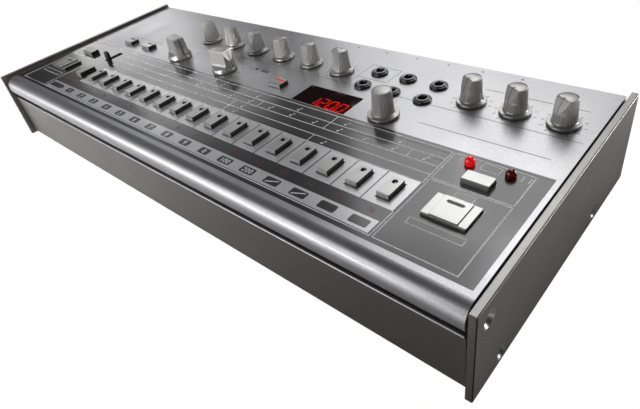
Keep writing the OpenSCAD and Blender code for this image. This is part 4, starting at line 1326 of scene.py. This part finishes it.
@dataclass(frozen=True)
class PointerKnob(Knob):
    """A knob with a leaning flat facet and a black notch line that points; the line is painted shade in place
    of a pointer groove.

    Attributes:
        aim: Direction of the facet in degrees from +X.
        facet: Distance of the facet from the axis at the top.
        lean: Lean of the facet in degrees.
        notch: Width of the notch line.
    """

    counts: tuple[int, ...] = (40, 420)
    aim: float = 90.0
    facet: float = 1.95
    lean: float = 21.0
    notch: float = 0.24

    def far(self, z: float) -> float:
        """Distance of the facet from the axis: facet + (height - z) tan lean above the skirt."""
        return self.facet + (self.height - z) * math.tan(math.radians(self.lean)) if z > self.skirt else 99.0

    def cuts(self, a: np.ndarray, z: float) -> np.ndarray:
        """The facet: far / cos(a - aim)."""
        c = np.cos(a - math.radians(self.aim))
        return np.where(c > 0.05, self.far(z) / np.maximum(c, 0.05), 99.0)

    def edges(self, r: float, z: float) -> list[float]:
        """Both ends of the facet, at aim -+ acos(far / r)."""
        aim, f = math.radians(self.aim), math.acos(min(self.far(z) / r, 0.9998))
        return [aim - f, aim + f]

    def line(self, sketch: Sketch, path: Sequence[tuple[float, float]], width: float) -> None:
        """Lays a black line of painted shade, in place of a groove, on the surface, in the upright plane of
        the aim.

        Args:
            sketch: Sketch to add to.
            path: Radius and height of each point.
            width: Width of the line.
        """
        a = math.radians(self.aim)
        out, up = np.array([math.cos(a), math.sin(a), 0.0]), np.array([0.0, 0.0, 1.0])
        side = np.cross(up, out)
        section = np.array([[-0.5, -0.2], [0.5, -0.2], [0.5, 0.025], [-0.5, 0.025]]) * (width, 1)
        spots = np.array([out * r + up * z for r, z in path])
        for start, end in zip(spots, spots[1:]):
            run = (end - start) / np.linalg.norm(end - start)
            sketch.sweep(np.array([start, end]), side, np.cross(run, side), section, 1)

    def draw(self, sketch: Sketch) -> None:
        """Adds the knob, a short bar on its top and a thin line down the facet, both black painted shade of
        the pointer groove.
        """
        super().draw(sketch)
        self.line(sketch, [(self.facet - 0.95, self.height), (self.facet - 0.06, self.height)], 0.75)
        z = self.height - 5.2
        self.line(sketch, [(self.far(self.height - 0.1), self.height - 0.1), (self.far(z), z)], self.notch)


@dataclass(frozen=True)
class SelectorKnob(PointerKnob):
    """A large knob with a bar grip between two finger scoops.

    Attributes:
        scoop: Heights and half widths of the grip: a near upright wall, a cove
            and a ledge that slopes out to the foot.
    """

    height: float = 11.7
    top: float = 5.65
    foot: float = 6.3
    rim: float = 6.6
    skirt: float = 2.2
    flutes: int = 0
    crown: float = 0.0
    counts: tuple[int, ...] = (40, 16, 90, 70, 90, 16)
    facet: float = 4.3
    lean: float = 17.0
    notch: float = 0.65
    scoop: tuple[tuple[float, float], ...] = ((2.4, 6.5), (3.4, 4.7), (3.7, 4.15), (4.0, 3.82), (4.4, 3.65),
                                              (5.0, 3.55), (11.7, 3.1))

    def half(self, z: float) -> float:
        """Half width of the grip at a height, by straight lines between the scoop's points."""
        heights, halves = zip(*self.scoop)
        return float(np.interp(z, heights, halves)) if z > heights[0] else 99.0

    def cuts(self, a: np.ndarray, z: float) -> np.ndarray:
        """The facet, and the scoops: half / |sin(a - aim)|."""
        s = np.abs(np.sin(a - math.radians(self.aim)))
        return np.minimum(super().cuts(a, z), self.half(z) / np.maximum(s, 0.05))

    def edges(self, r: float, z: float) -> list[float]:
        """Ends of the facet and of both scoops, which meet at atan(half / far) where they overlap."""
        aim, far, half = math.radians(self.aim), self.far(z), self.half(z)
        s = math.asin(min(half / r, 0.9998))
        f = min(math.acos(min(far / r, 0.9998)), math.atan2(half, far) if half < r and far < r else 9.0)
        g = max(s, f + 0.01)
        return [aim - f, aim + f, aim + g, aim + math.pi - s, aim + math.pi + s, aim + 2 * math.pi - g]

    def levels(self) -> np.ndarray:
        """Heights of the rings, with one at every bend of the scoop."""
        bends = [z for z, _ in self.scoop[:-1]]
        return np.unique(np.round([*super().levels(), *bends, 2.42, 3.0, 3.2, 3.55, 3.85, 4.2, 4.7], 3))

    def skirt_profile(self) -> list[tuple[float, float]]:
        """Radii and heights of the foot: an upright band with an eased shoulder."""
        return [(2.0, -10.2), (2.0, 0.45), (self.rim - 0.35, 0.45), (self.rim - 0.1, 0.52), (self.rim, 0.7),
                (self.rim, 1.5), (self.rim - 0.05, 1.75), (self.rim - 0.17, 2.05)]

    def draw(self, sketch: Sketch) -> None:
        """Adds the knob and a notch line of black painted shade over the top, down the facet and on to the
        foot.
        """
        Knob.draw(self, sketch)
        low = self.height - (self.foot - 0.25 - self.facet) / math.tan(math.radians(self.lean))
        path = [(self.facet - 1.3, self.height), (self.facet - 0.03, self.height), (self.far(low), low),
                (self.foot, self.skirt + 0.3)]
        self.line(sketch, path, self.notch)


@dataclass(frozen=True)
class Dials:
    """All the knobs on the panel, with the way each one points."""

    levels: tuple[float, ...] = (84, 90, 88, 92, 86, 90)
    effects: tuple[float, ...] = (240, 240, 240)
    selectors: tuple[tuple[float, float], ...] = ((-64.2, -9), (-24.6, 8))

    def build(self) -> None:
        """Makes every knob at its place."""
        for i, aim in enumerate(self.levels):
            PointerKnob(aim=aim).build(f"level_knob_{i + 1}", -64.2 + LEVEL_PITCH * i, KNOB_Y)
        for i, aim in enumerate(self.effects):
            PointerKnob(aim=aim).build(f"effect_knob_{i + 1}", 102 + EFFECT_PITCH * i, KNOB_Y)
        for i, (x, aim) in enumerate(self.selectors):
            SelectorKnob(aim=aim).build(f"selector_knob_{i + 1}", x, SELECTOR_Y)
        Knob(11.9, 4.0, 4.65, 6.6, crown=3.5).build("value_knob", 76.3, SELECTOR_Y)


# ---- Printed marks -----------------------------------------------------------------


def numeral_paths() -> dict[str, list[np.ndarray]]:
    """Strokes of each figure in a box 1 wide and 1.6 high."""
    line = np.array
    return {
        "0": [arc(0.5, 0.8, 0.4, 0.72, 90, 450, 22)],
        "1": [line([[0.28, 1.25], [0.58, 1.55], [0.58, 0.02]])],
        "2": [np.concatenate([arc(0.48, 1.13, 0.38, 0.4, 165, -30), [[0.08, 0.08], [0.92, 0.08]]])],
        "3": [np.concatenate([arc(0.45, 1.17, 0.36, 0.36, 150, -80), arc(0.45, 0.45, 0.42, 0.4, 80, -150)])],
        "4": [line([[0.7, 0.02], [0.7, 1.55], [0.06, 0.5], [0.98, 0.5]])],
        "5": [np.concatenate([[[0.86, 1.52], [0.22, 1.52], [0.16, 0.92]],
                              arc(0.46, 0.5, 0.42, 0.45, 120, -150)])],
        "6": [arc(0.5, 0.5, 0.4, 0.45, 90, 450, 20), arc(0.9, 0.6, 0.8, 0.95, 180, 105)],
        "7": [line([[0.06, 1.52], [0.92, 1.52], [0.36, 0.02]])],
        "8": [arc(0.5, 1.18, 0.33, 0.34, 90, 450, 18), arc(0.5, 0.45, 0.4, 0.4, 90, 450, 20)],
        "9": [arc(0.5, 1.1, 0.4, 0.43, 90, 450, 20), arc(0.1, 1.0, 0.8, 0.95, 0, -75)],
        "I": [line([[0.5, 1.55], [0.5, 0.02]])],
    }


class Ink(Enum):
    """Slots of the printed layers' inks."""

    FILM = 0
    TILE = 1
    WHITE = 2
    GREY = 3
    BLACK = 4
    RED = 5


INKS = (FILM, TILE, WHITE, GREY, BLACK_INK_AND_NOTCH_SHADE, RED)


RULE = 0.38  # Width of the usual white rule.


class Artwork(Sketch):
    """Printed marks as thin closed slabs, with X from the panel's left edge."""

    FIGURES = numeral_paths()

    def __init__(self, space: LocalFrame = PANEL, shift: Sequence[float] = (-HALF_W, 0, 0)) -> None:
        super().__init__(space, shift)

    def rules(self, ends: Sequence, width: float = RULE, ink: Ink = Ink.WHITE, top: float = 0.09) -> None:
        """Straight rules, each x0, y0, x1, y1."""
        self.bars(np.asarray(ends, float).reshape(-1, 2, 2), width, 0.01, top, ink.value)

    def outline(self, x0: float, x1: float, y0: float, y1: float, width: float = RULE,
                ink: Ink = Ink.WHITE, top: float = 0.09) -> None:
        """A rectangular frame of mitre-free bars."""
        h = width / 2
        self.rules([[x0 - h, y0, x1 + h, y0], [x0 - h, y1, x1 + h, y1], [x0, y0, x0, y1], [x1, y0, x1, y1]],
                   width, ink, top)

    def figures(self, text: str, x: float, y: float, high: float, stroke: float, ink: Ink,
                top: float = 0.11) -> None:
        """Figures centred on x, standing on y."""
        scale = high / 1.6
        for i, sign in enumerate(text):
            left = x + (i - len(text) / 2) * 1.25 * scale + 0.12 * scale
            for path in self.FIGURES[sign]:
                self.ribbon(path * scale + (left, y), stroke, 0.01, top, ink.value)

    def note(self, x: float, y: float, high: float, ink: Ink, top: float = 0.11) -> None:
        """A generic quaver: a leant oval head, a stem and a curled flag."""
        turn = math.radians(25)
        head = circle(1.0, 18) * (0.34 * high, 0.24 * high)
        head = head @ np.array([[math.cos(turn), math.sin(turn)], [-math.sin(turn), math.cos(turn)]])
        self.prism(head + (x, y + 0.2 * high), 0.01, top, ink.value)
        stem = x + 0.29 * high
        self.rules([[stem, y + 0.26 * high, stem, y + 1.2 * high]], 0.11 * high, ink, top)
        self.ribbon(arc(stem + 0.02, y + 0.72 * high, 0.42 * high, 0.46 * high, 92, 5, 8), 0.13 * high, 0.01,
                    top, ink.value)


@dataclass(frozen=True)
class PrintedField:
    """The dark film with its tile row, chips, note grid and frames.

    Attributes:
        area: x0, x1, y0, y1 of the film.
        row: y0, y1 of the light tile row under the keys.
        gap: Distance that the film keeps from an opening.
    """

    area: tuple[float, ...] = (1.0, 298.6, 8.35, 62.5)
    row: tuple[float, float] = (23.4, 40.2)
    gap: float = 0.12

    def openings(self) -> np.ndarray:
        """x0, x1, y0, y1 of each opening that the film goes round."""
        centres = [(x + HALF_W, KEY_Y, 5.7, 10.5) for x in (KEY_X[0] - KEY_PITCH, *KEY_X)]
        for x in (20.0, 278.8):
            centres += [(x, WIDE_Y, 16.3, 11.8), (x, SMALL_Y, 10.6, 6.1)]
        centres += [(41.9, 52.0, 3.9, 11.0)]
        x, y, w, l = np.array(centres).T
        return np.stack([x - w / 2, x + w / 2, y - l / 2, y + l / 2], 1) + np.array([-1, 1, -1, 1]) * self.gap

    def tiles(self, art: Artwork) -> None:
        """The light row, its separators, the figures under the keys and the chips."""
        columns = KEY_X + HALF_W
        holes = self.openings()
        art.sheet((51.65, 263.3, *self.row), holes, 0.01, 0.08, Ink.TILE.value)
        cuts = np.append(columns - KEY_PITCH / 2, columns[-1] + KEY_PITCH / 2)
        ends = np.array([[[x, y] for y in self.row] for x in cuts])
        art.bars(ends, 0.5, 0.01, 0.1, Ink.BLACK.value)
        art.rules([[7, 10.4, 263.3, 10.4], [51.4, 40.5, 263.3, 40.5]])
        art.box(35.5, 262.3, 11.0, 17.2, 0.01, 0.08, Ink.TILE.value)
        labels = [str(k) for k in range(1, 10)] + ["0", "100", "200"]
        for i, x in enumerate(columns):
            art.prism(round_rect(6.1 if i < 10 else 7.3, 3.7, 0.7) + (x, 14.1), 0.01, 0.1, Ink.BLACK.value)
            if i < 12:
                art.figures(labels[i], x, 12.95, 2.3, 0.42, Ink.WHITE, 0.12)
            elif i < 14:
                art.rules([[x - 2.6, 12.95, x + 2.6, 15.25]], 0.5, Ink.WHITE, 0.12)
            art.figures(str(i + 1), x, 19.4, 2.1, 0.36, Ink.RED)
        art.prism(np.array([[37, 12.3], [48, 12.3], [51, 14.1], [48, 15.9], [37, 15.9]]), 0.01, 0.1,
                  Ink.BLACK.value)
        art.outline(36.6, 53.2, 18.4, 22.2, 0.3, Ink.RED)

    def grid(self, art: Artwork) -> None:
        """The note grid: long rules, short uprights, notes and the beams behind them."""
        left, right = 51.4, 263.3
        long = [[left, y, right, y] for y in (45.4, 50.5, 55.5)] + [[7, 60.75, right, 60.75]]
        art.rules(long)
        art.rules([[130.3, 50.5, 130.3, 60.6], [157.3, 40.5, 157.3, 50.5], [170.4, 50.5, 170.4, 55.5],
                   [210.3, 50.5, 210.3, 60.6], [210.3, 40.5, 210.3, 45.4], [250, 50.5, 250, 55.5]])
        art.rules([[219, 59.4, 263, 59.4], [151, 54.4, 163, 54.4], [178, 54.4, 202, 54.4],
                   [219, 54.4, 242, 54.4], [259, 54.4, 263, 54.4]], 0.3, Ink.GREY, 0.08)
        x = KEY_X + HALF_W
        rows = [(x[::2], 56.4), (x[3:], 51.4), (x[8:9], 46.4), (x[4:13:4], 41.4)]
        for columns, y in rows:
            for column in columns:
                art.note(column, y + 0.2, 1.9, Ink.WHITE)

    def frames(self, art: Artwork) -> None:
        """Frames round the start and tap keys, with their small bare label frames."""
        art.rules([[263.3, 10.4, 263.3, 60.9]])
        for x0, x1 in ((264.4, 293.1), (7.0, 33.4)):
            art.outline(x0, x1, 44.1, 60.6)
            art.outline(x0, x1, 10.4, 43.3)
            middle = (x0 + x1) / 2
            art.outline(middle - 3.3, middle + 3.3, 38.9, 41.9, 0.28, Ink.WHITE)
            art.outline(middle - 9.6, middle + 9.6, 21.1, 24.0, 0.28, Ink.WHITE)
        art.outline(275.6, 282.3, 56.1, 59.6, 0.28, Ink.WHITE)
        art.figures("I", 268, 56.2, 3.0, 0.42, Ink.WHITE)
        art.figures("II", 291, 56.2, 3.0, 0.42, Ink.WHITE)

    def build(self) -> bpy.types.Object:
        """Makes the film with all its print."""
        art = Artwork()
        art.sheet(self.area, self.openings(), -0.02, 0.05, Ink.FILM.value)
        art.rules([[1.0, 61.95, 298.6, 61.95]], 1.0, Ink.BLACK, 0.08)
        self.tiles(art)
        self.grid(art)
        self.frames(art)
        return art.build("printed_field", INKS)


@dataclass(frozen=True)
class PanelMarks:
    """Rules, scales and marks printed straight on the silver.

    Attributes:
        ticks: Marks of a knob's scale, every 30 degrees.
        inner: Radius where a mark starts.
        outer: Radius where it ends.
        span: Underside and top of a mark.
    """

    ticks: int = 11
    inner: float = 7.1
    outer: float = 8.2
    span: tuple[float, float] = (-0.02, 0.04)

    def scale(self, art: Artwork, x: float, y: float) -> None:
        """Radial ticks round a knob, from 240 down to -60 degrees."""
        a = np.radians(240 - 30 * np.arange(self.ticks))
        way = np.stack([np.cos(a), np.sin(a)], 1)
        ends = np.stack([way * self.inner, way * self.outer], 1) + (x, y)
        art.bars(ends, 0.28, *self.span, Ink.GREY.value)

    def build(self) -> bpy.types.Object:
        """Makes the marks."""
        art = Artwork()
        rules = [[91, 85.5, 298, 85.5], [195, 86, 195, 106], [211.4, 94, 211.4, 106],
                 [195, 93.5, 211.4, 93.5], [195, 106, 211.4, 106],
                 [242, 72, 293, 72], [252, 106.3, 294, 106.3]]
        art.rules(rules, 0.24, Ink.GREY, 0.035)
        for x in [*(86 + LEVEL_PITCH * np.arange(6)), *(252.2 + EFFECT_PITCH * np.arange(3))]:
            self.scale(art, x, KNOB_Y)
        for x, aim in ((86.0, -11), (125.6, 8)):
            a = np.radians(aim + np.array([-60, -30, 0, 30, 60]))
            way = np.stack([np.cos(a), np.sin(a)], 1)
            for spot in way * 9.6 + (x, SELECTOR_Y):
                art.prism(circle(0.55, 14) + spot, *self.span, Ink.BLACK.value)
        for k in range(2):
            art.box(137.5 + 8 * k, 143 + 8 * k, 76.8, 79.0, *self.span, Ink.BLACK.value)
        for x in (106.6, 126.4, 176, 193.4, 210.8, 227.6, 244.4, 262):
            art.prism(np.array([[x - 0.7, 119.3], [x + 0.7, 119.3], [x, 120.6]]), *self.span, Ink.GREY.value)
        art.rules([[29.5, 77.5, 57.5, 77.5], [29.5, 75.9, 29.5, 77.5], [57.5, 75.9, 57.5, 77.5]], 0.24,
                  Ink.GREY, 0.035)
        return art.build("panel_marks", INKS)


# ---- Display, lamps, jacks and lever ----------------------------------------------------


@dataclass(frozen=True)
class Display:
    """Seven-segment figures in the pocket behind the window.

    A figure is seven flat six-sided bars round two squares, leant by a shear.

    Attributes:
        spot: Centre of the figures in panel millimetres.
        depth: Height of the figures' face.
        high: Height of a figure.
        wide: Width of a figure.
        pitch: Distance between figures.
        stroke: Width of a bar.
        lean: Shear of the figures.
        text: What shows; a dot lights the point after a figure.
    """

    spot: tuple[float, float] = (45.5, 70.2)
    depth: float = -3.2
    high: float = 6.4
    wide: float = 3.5
    pitch: float = 5.3
    stroke: float = 0.5
    lean: float = 0.14
    text: str = "120.0"

    SHAPES: ClassVar[dict[str, str]] = {"0": "abcdef", "1": "bc", "2": "abdeg"}

    def segments(self) -> dict[str, np.ndarray]:
        """Start and end of each bar's middle line, from the figure's lower left corner."""
        w, h, m = self.wide, self.high, self.high / 2
        ends = {"a": (0, h, w, h), "b": (w, m, w, h), "c": (w, 0, w, m), "d": (0, 0, w, 0),
                "e": (0, 0, 0, m), "f": (0, m, 0, h), "g": (0, m, w, m)}
        return {key: np.array(row, float).reshape(2, 2) for key, row in ends.items()}

    def bar(self, ends: np.ndarray) -> np.ndarray:
        """Six-sided outline of a bar: its points lie on the middle line, half a stroke in."""
        run = (ends[1] - ends[0]) / np.linalg.norm(ends[1] - ends[0])
        side, h = np.array([-run[1], run[0]]), self.stroke / 2
        a, b = ends[0] + run * h * 0.3, ends[1] - run * h * 0.3
        flat = np.array([a, a + h * (run - side), b - h * (run + side), b, b - h * (run - side),
                         a + h * (run + side)])
        return flat + np.stack([self.lean * flat[:, 1], np.zeros(6)], 1)

    def build(self) -> bpy.types.Object:
        """Makes the figures, lit and dark, on a black backing."""
        sketch = Sketch(PANEL)
        count = len(self.text.replace(".", ""))
        x = self.spot[0] - (count * self.pitch - (self.pitch - self.wide)) / 2 - self.lean * self.high / 2
        y = self.spot[1] - self.high / 2
        for sign in self.text:
            if sign == ".":
                dot = circle(0.45, 16) + (x - self.pitch + self.wide + 0.95, y + 0.05)
                sketch.prism(dot, self.depth - 0.1, self.depth, 0)
                continue
            for key, ends in self.segments().items():
                lit = key in self.SHAPES[sign]
                sketch.prism(self.bar(ends) + (x, y), self.depth - 0.1, self.depth, 0 if lit else 1)
            x += self.pitch
        return sketch.build("display_figures", [DIGIT, DARK_DIGIT])


@dataclass(frozen=True)
class Lamps:
    """Two domed lamps and the sixteen light pipes of the keys.

    A dome is the quarter circle (r cos t, h - r + r sin t) revolved.

    Attributes:
        radius: Of a lamp.
        top: Of a lamp above the panel.
        pipe: Radius of a light pipe.
    """

    radius: float = 1.85
    top: float = 3.1
    pipe: float = 0.95

    def build(self) -> bpy.types.Object:
        """Makes the lamps and pipes that stand in for their CAD node."""
        sketch = Sketch(PANEL)
        t = np.linspace(0, math.pi / 2, 14)[:-1]
        dome = [(self.radius, -BOARD_Z), *zip(self.radius * np.cos(t), self.top - self.radius
                                              + self.radius * np.sin(t))]
        for x, slot in ((121.35, 1), (135.85, 2)):
            sketch.turn(dome, (x, 57.2), 48, slot)
        cap = [(self.pipe, -BOARD_Z), (self.pipe, 1.4), (self.pipe - 0.06, 1.5), (self.pipe - 0.2, 1.55)]
        for x in KEY_X:
            sketch.turn(cap, (x, 34.3), 24)
        return sketch.build("lamps_and_pipes", [PIPE, LAMP_ON, UNLIT_LAMP_FAINT_GLOW], 40, node="panel_leds")


@dataclass(frozen=True)
class Minijacks:
    """Threaded jacks on the panel and at the rear, with their ring nuts.

    Attributes:
        bore: Radius of the bore.
        collar: Radius of the threaded collar.
        nut: Radius of the ring nut.
        top: Top of the collar above the panel.
    """

    bore: float = 1.8
    collar: float = 3.2
    nut: float = 4.0
    top: float = 1.6

    def socket(self, sketch: Sketch, x: float, y: float, top: float, foot: float) -> None:
        """Adds a collar round its bore, as one turned tube.

        Args:
            sketch: Sketch to add to.
            x: Axis.
            y: Axis.
            top: Height of the collar.
            foot: Depth of the bore.
        """
        b, c = self.bore, self.collar
        sketch.turn([(b, foot), (c, foot), (c, top - 0.25), (c - 0.1, top - 0.08), (c - 0.3, top),
                     (b + 0.45, top), (b + 0.2, top - 0.08), (b, top - 0.4)], (x, y), 48, loop=True)

    def ring_nut(self, sketch: Sketch, x: float, y: float, high: float, slot: int = 0) -> None:
        """Adds a low ring nut with eased edges round the collar."""
        n, c = self.nut, self.collar
        sketch.turn([(c + 0.02, 0.0), (n - 0.05, 0.0), (n, 0.1), (n, high - 0.45), (n - 0.1, high - 0.2),
                     (n - 0.3, high - 0.04), (n - 0.45, high), (c + 0.02, high)], (x, y), 48, slot, loop=True)

    def build(self) -> bpy.types.Object:
        """Makes all nine jacks that stand in for their CAD node."""
        panel = Sketch(PANEL)
        for x in 52.9 + 15.5 * np.arange(3):
            for y in (87.1, 100.2):
                self.socket(panel, x, y, self.top, -BOARD_Z)
                self.ring_nut(panel, x, y, self.top - 0.5)
                holes = [(x - 2.2, x + 2.2, y - 2.2, y + 2.2)]
                panel.sheet((x - 4.7, x + 4.7, y - 4.5, y + 4.5), np.array(holes), -BOARD_Z, -1.5)
        rear = Sketch(REAR)
        for x in REAR_JACK_X:
            self.socket(rear, x, REAR_JACK_Y, 0.5, -13.2)
            holes = [(x - 2.2, x + 2.2, 22.3, 26.7)]
            rear.sheet((x - 4.5, x + 4.5, 20.0, 29.0), np.array(holes), -14.2, -1.5)
        rear.build("rear_minijacks", [BUSHING], 40, node="minijack_sockets")
        return panel.build("panel_minijacks", [BUSHING], 40, node="minijack_sockets")


@dataclass(frozen=True)
class Lever:
    """Slide lever with a waisted, ribbed grip.

    Rounded rectangles of width w(z) and length l(z) rise along z. The stem
    steps out to the grip above the panel, and the grip's front and rear faces
    lean in towards the tip.

    Attributes:
        spot: Centre at rest in panel millimetres.
        width: Stem along X.
        grip: Grip along X.
        length: Along Y.
        high: Top above the panel.
    """

    spot: tuple[float, float] = (-108.3, 48.4)
    width: float = 2.6
    grip: float = 3.4
    length: float = 2.2
    high: float = 4.9

    def build(self) -> bpy.types.Object:
        """Makes the lever that stands in for its CAD node."""
        sketch = Sketch(PANEL, (*self.spot, 0))
        w, l, h = self.grip, self.length, self.high
        rows = [(self.width, l, -10.0), (self.width, l, 0.4), (w, l, 0.7), (w, l * 0.92, 1.4),
                (w, l * 0.8, h - 0.8), (w, l * 0.78, h - 0.25), (w - 0.15, l * 0.7, h - 0.08),
                (w - 0.45, l * 0.55, h)]
        sketch.skin(stack([round_rect(a, b, 0.3) for a, b, _ in rows], [z for *_, z in rows]))
        for k in range(3):
            z = 1.7 + 0.55 * k
            for s in (-1, 1):
                y = s * l * 0.43
                sketch.box(-w / 2 + 0.3, w / 2 - 0.3, y - 0.1, y + 0.1, z, z + 0.22)
        return sketch.build("slide_lever", [BLACK], 35, "scale_lever", "scale_lever")


# ---- Rear, sides and underside -----------------------------------------------------------


@dataclass(frozen=True)
class EdgeTrim:
    """Bright lip on the case, seals beside the panel, and painted highlight and painted shade along the side
    plates' edges.

    The lip is half an ellipse carried along X. A corner line is a flat bar laid
    on the 45 degree bevel and carried along the plate's edge, dark for painted shade
    or pale for a painted highlight; the left plate's is the right one's mirrored in x.

    Attributes:
        inner: Inner face of a side plate.
        outer: Its outer face.
        rise: Its top edge above the panel.
        length: Its top edge along Y.
        low: Its lower edge.
        bevel: Its bevel.
    """

    inner: float = 151.55
    outer: float = OUTER_X
    rise: float = 1.55
    length: float = 123.63
    low: float = -37.87
    bevel: float = 0.35

    def bar(self, foot: Sequence[float], lean: Sequence[float], start: float, end: float,
            high: float) -> np.ndarray:
        """Section of a bar that lies along lean from foot, high above it and 0.05 into it."""
        foot, lean = np.asarray(foot, float), np.asarray(lean, float) * math.sqrt(0.5)
        out = np.array([lean[1], -lean[0]])
        return np.array([foot + lean * a + out * b
                         for a, b in ((start, -0.05), (start, high), (end, high), (end, -0.05))][::-1])

    def line(self, sketch: Sketch, side: int, along_y: bool, section: np.ndarray, slot: int) -> None:
        """Carries a corner line along the top edge or up the front edge of one plate."""
        if along_y:
            ends, u, v = [(0, 0.4, 0), (0, self.length - 0.4, 0)], (0, 0, 1), (side, 0, 0)
        else:
            ends, u, v = [(0, 0, self.low + 0.4), (0, 0, self.rise - 0.4)], (side, 0, 0), (0, 1, 0)
        sketch.sweep(np.array(ends[::side], float), np.array([u, u]), v, section, slot)

    def build(self) -> None:
        """Makes the lip, the seals, and the painted highlight and shade on the plate edges."""
        lip = Sketch(PANEL)
        lip.sweep(np.array([[-149.6, 0, 0], [149.6, 0, 0]]), np.array([[0, 1, 0]] * 2), (0, 0, 1),
                  arc(2.45, -12.33, 0.52, 0.45, 0, 180))
        lip.build("front_lip", [SILVER], 40)
        edges = Sketch(PANEL)
        top, b = self.rise, self.bevel
        for side in (-1, 1):
            x0, x1 = sorted((side * (self.inner + 0.05), side * (self.outer - b - 0.02)))
            # Painted highlight: a pale layer over each plate's top face.
            edges.box(x0, x1, 0.2, self.length - 0.2, top - 0.1, top + 0.03)
            x0, x1 = sorted((side * (HALF_W + 0.05), side * (self.inner - 0.05)))
            edges.box(x0, x1, 3.0, self.length - 2.0, -3.0, -1.6, 1)
            corner = (top, self.outer - b)
            # Corner lines on the bevel: painted shade along its upper part, a painted highlight below it,
            # painted shade up the front edge.
            self.line(edges, side, True, self.bar(corner, (-1, 1), 0.0, 0.24, 0.02), 1)
            self.line(edges, side, True, self.bar(corner, (-1, 1), 0.34, 0.46, 0.03), 0)
            self.line(edges, side, False, self.bar((self.outer - b, 0.0), (1, 1), 0.0, 0.48, 0.02), 1)
        edges.build("plate_edges_painted_light_and_seals", [EDGE_HIGHLIGHT, RUBBER_AND_EDGE_SHADE], 30)


@dataclass(frozen=True)
class SideScrews:
    """Socket screws of the side plates, each sunk in a bright cup washer.

    Rings stand at w millimetres out from the plate's face. Point =
    (side (outer + w), y + r cos t, z + side r sin t).

    Attributes:
        outer: Outer face of a side plate.
        spots: y and z of the screws.
        cup: r and w round the washer's section.
        head: r and w from the shank up and down into the socket.
    """

    outer: float = OUTER_X
    spots: tuple[tuple[float, float], ...] = ((7, -6.3), (17.9, -33.2), (94.5, -34.3))
    cup: tuple[tuple[float, float], ...] = (
        (1.75, -1.75), (3.22, -0.3), (3.22, 0.02), (3.1, 0.06), (2.95, 0.02), (1.9, -1.25), (1.75, -1.5))
    head: tuple[tuple[float, float], ...] = (
        (1.5, -5.9), (1.5, -1.8), (1.74, -1.55), (1.74, -1.3), (1.62, -1.2), (1.15, -1.2), (1.15, -2.6))

    def rings(self, profile: Sequence[tuple[float, float]], side: int, y: float, z: float,
              sides: int = 40) -> np.ndarray:
        """Rings of a profile about one screw's axis."""
        r, w = np.asarray(profile, float).T
        unit = circle(1.0, sides)
        ring = r[:, None, None] * unit * (1, side) + (y, z)
        return np.concatenate([np.broadcast_to((side * (self.outer + w))[:, None, None], (len(r), sides, 1)),
                               ring], -1)

    def build(self) -> bpy.types.Object:
        """Makes the screws that stand in for their CAD node."""
        sketch = Sketch(PANEL)
        for side in (-1, 1):
            for y, z in self.spots:
                sketch.skin(self.rings(self.cup, side, y, z), 0, loop=True)
                sketch.skin(self.rings(self.head, side, y, z), 1)
        return sketch.build("plate_screws", [POT, SCREW], 30, node="side_plate_screws")


@dataclass(frozen=True)
class RearFittings:
    """Trim of the rear sockets: shields, rings and printed marks.

    Attributes:
        midi: Axes of the round sockets in rear panel millimetres.
    """

    midi: tuple[float, ...] = (-43.6, -23.8)

    def build(self) -> None:
        """Makes the steel shields, washers and marks."""
        steel = Sketch(REAR)
        for x in self.midi:
            steel.turn([(6.05, -7.5), (6.75, -7.5), (6.75, 0.15), (6.6, 0.3), (6.2, 0.3), (6.05, 0.15)],
                       (x, 19.3), 64, loop=True)
        for x in REAR_JACK_X:
            steel.turn([(3.05, 0.0), (4.3, 0.0), (4.3, 0.2), (4.15, 0.32), (3.2, 0.32), (3.05, 0.2)],
                       (x, REAR_JACK_Y), 48, loop=True)
        steel.build("rear_shields", [STEEL], 30)
        art = Artwork(REAR, (0, 0, 0))
        for x in (*self.midi, *REAR_JACK_X, 77.4, 94.2, 111.8):
            art.rules([[x - 3, 9.6, x + 3, 9.6]], 0.3, Ink.WHITE, 0.04)
        art.figures("I", 108.6, 19.6, 2.0, 0.3, Ink.WHITE, 0.04)
        art.figures("0", 115.0, 19.6, 2.0, 0.3, Ink.WHITE, 0.04)
        art.build("rear_marks", INKS)


@dataclass(frozen=True)
class Underside:
    """Grip ribs on the battery door, rims on the feet.

    Attributes:
        door: Centre of the door in ground millimetres.
    """

    door: tuple[float, float] = (-30.0, 56.0)

    def build(self) -> None:
        """Makes the ribs, which ride on the door, and the feet's rims."""
        x, y = self.door
        ribs = Sketch(GROUND)
        lines = y + 8 + 1.1 * np.arange(6)
        ribs.bars(np.array([[[x - 8.0, line], [x + 8.0, line]] for line in lines]), 0.5, 0.42, 0.72)
        ribs.build("door_ribs", [CASE], 30, "battery_door")
        rims = Sketch(GROUND)
        for cx in (-134, 134):
            for cy in (14, 110):
                rims.turn([(6.0, 0.9), (6.5, 0.9), (6.5, 1.85), (6.0, 1.85)], (cx, cy), 48, loop=True)
        rims.build("foot_rims", [RUBBER_AND_EDGE_SHADE], 30)


def main() -> None:
    """Dresses the part and sets the scene."""
    logging.basicConfig(level=logging.INFO, format="%(name)s: %(message)s")
    ViewCamera().build()
    Studio().build()
    for part in (Housing(), Keyboard(), Dials(), PrintedField(), PanelMarks(), Display(), Lamps(),
                 Minijacks(), Lever(), EdgeTrim(), SideScrews(), RearFittings(), Underside()):
        part.build()
        log.info("built %s", type(part).__name__)


if __name__ == "__main__":
    main()
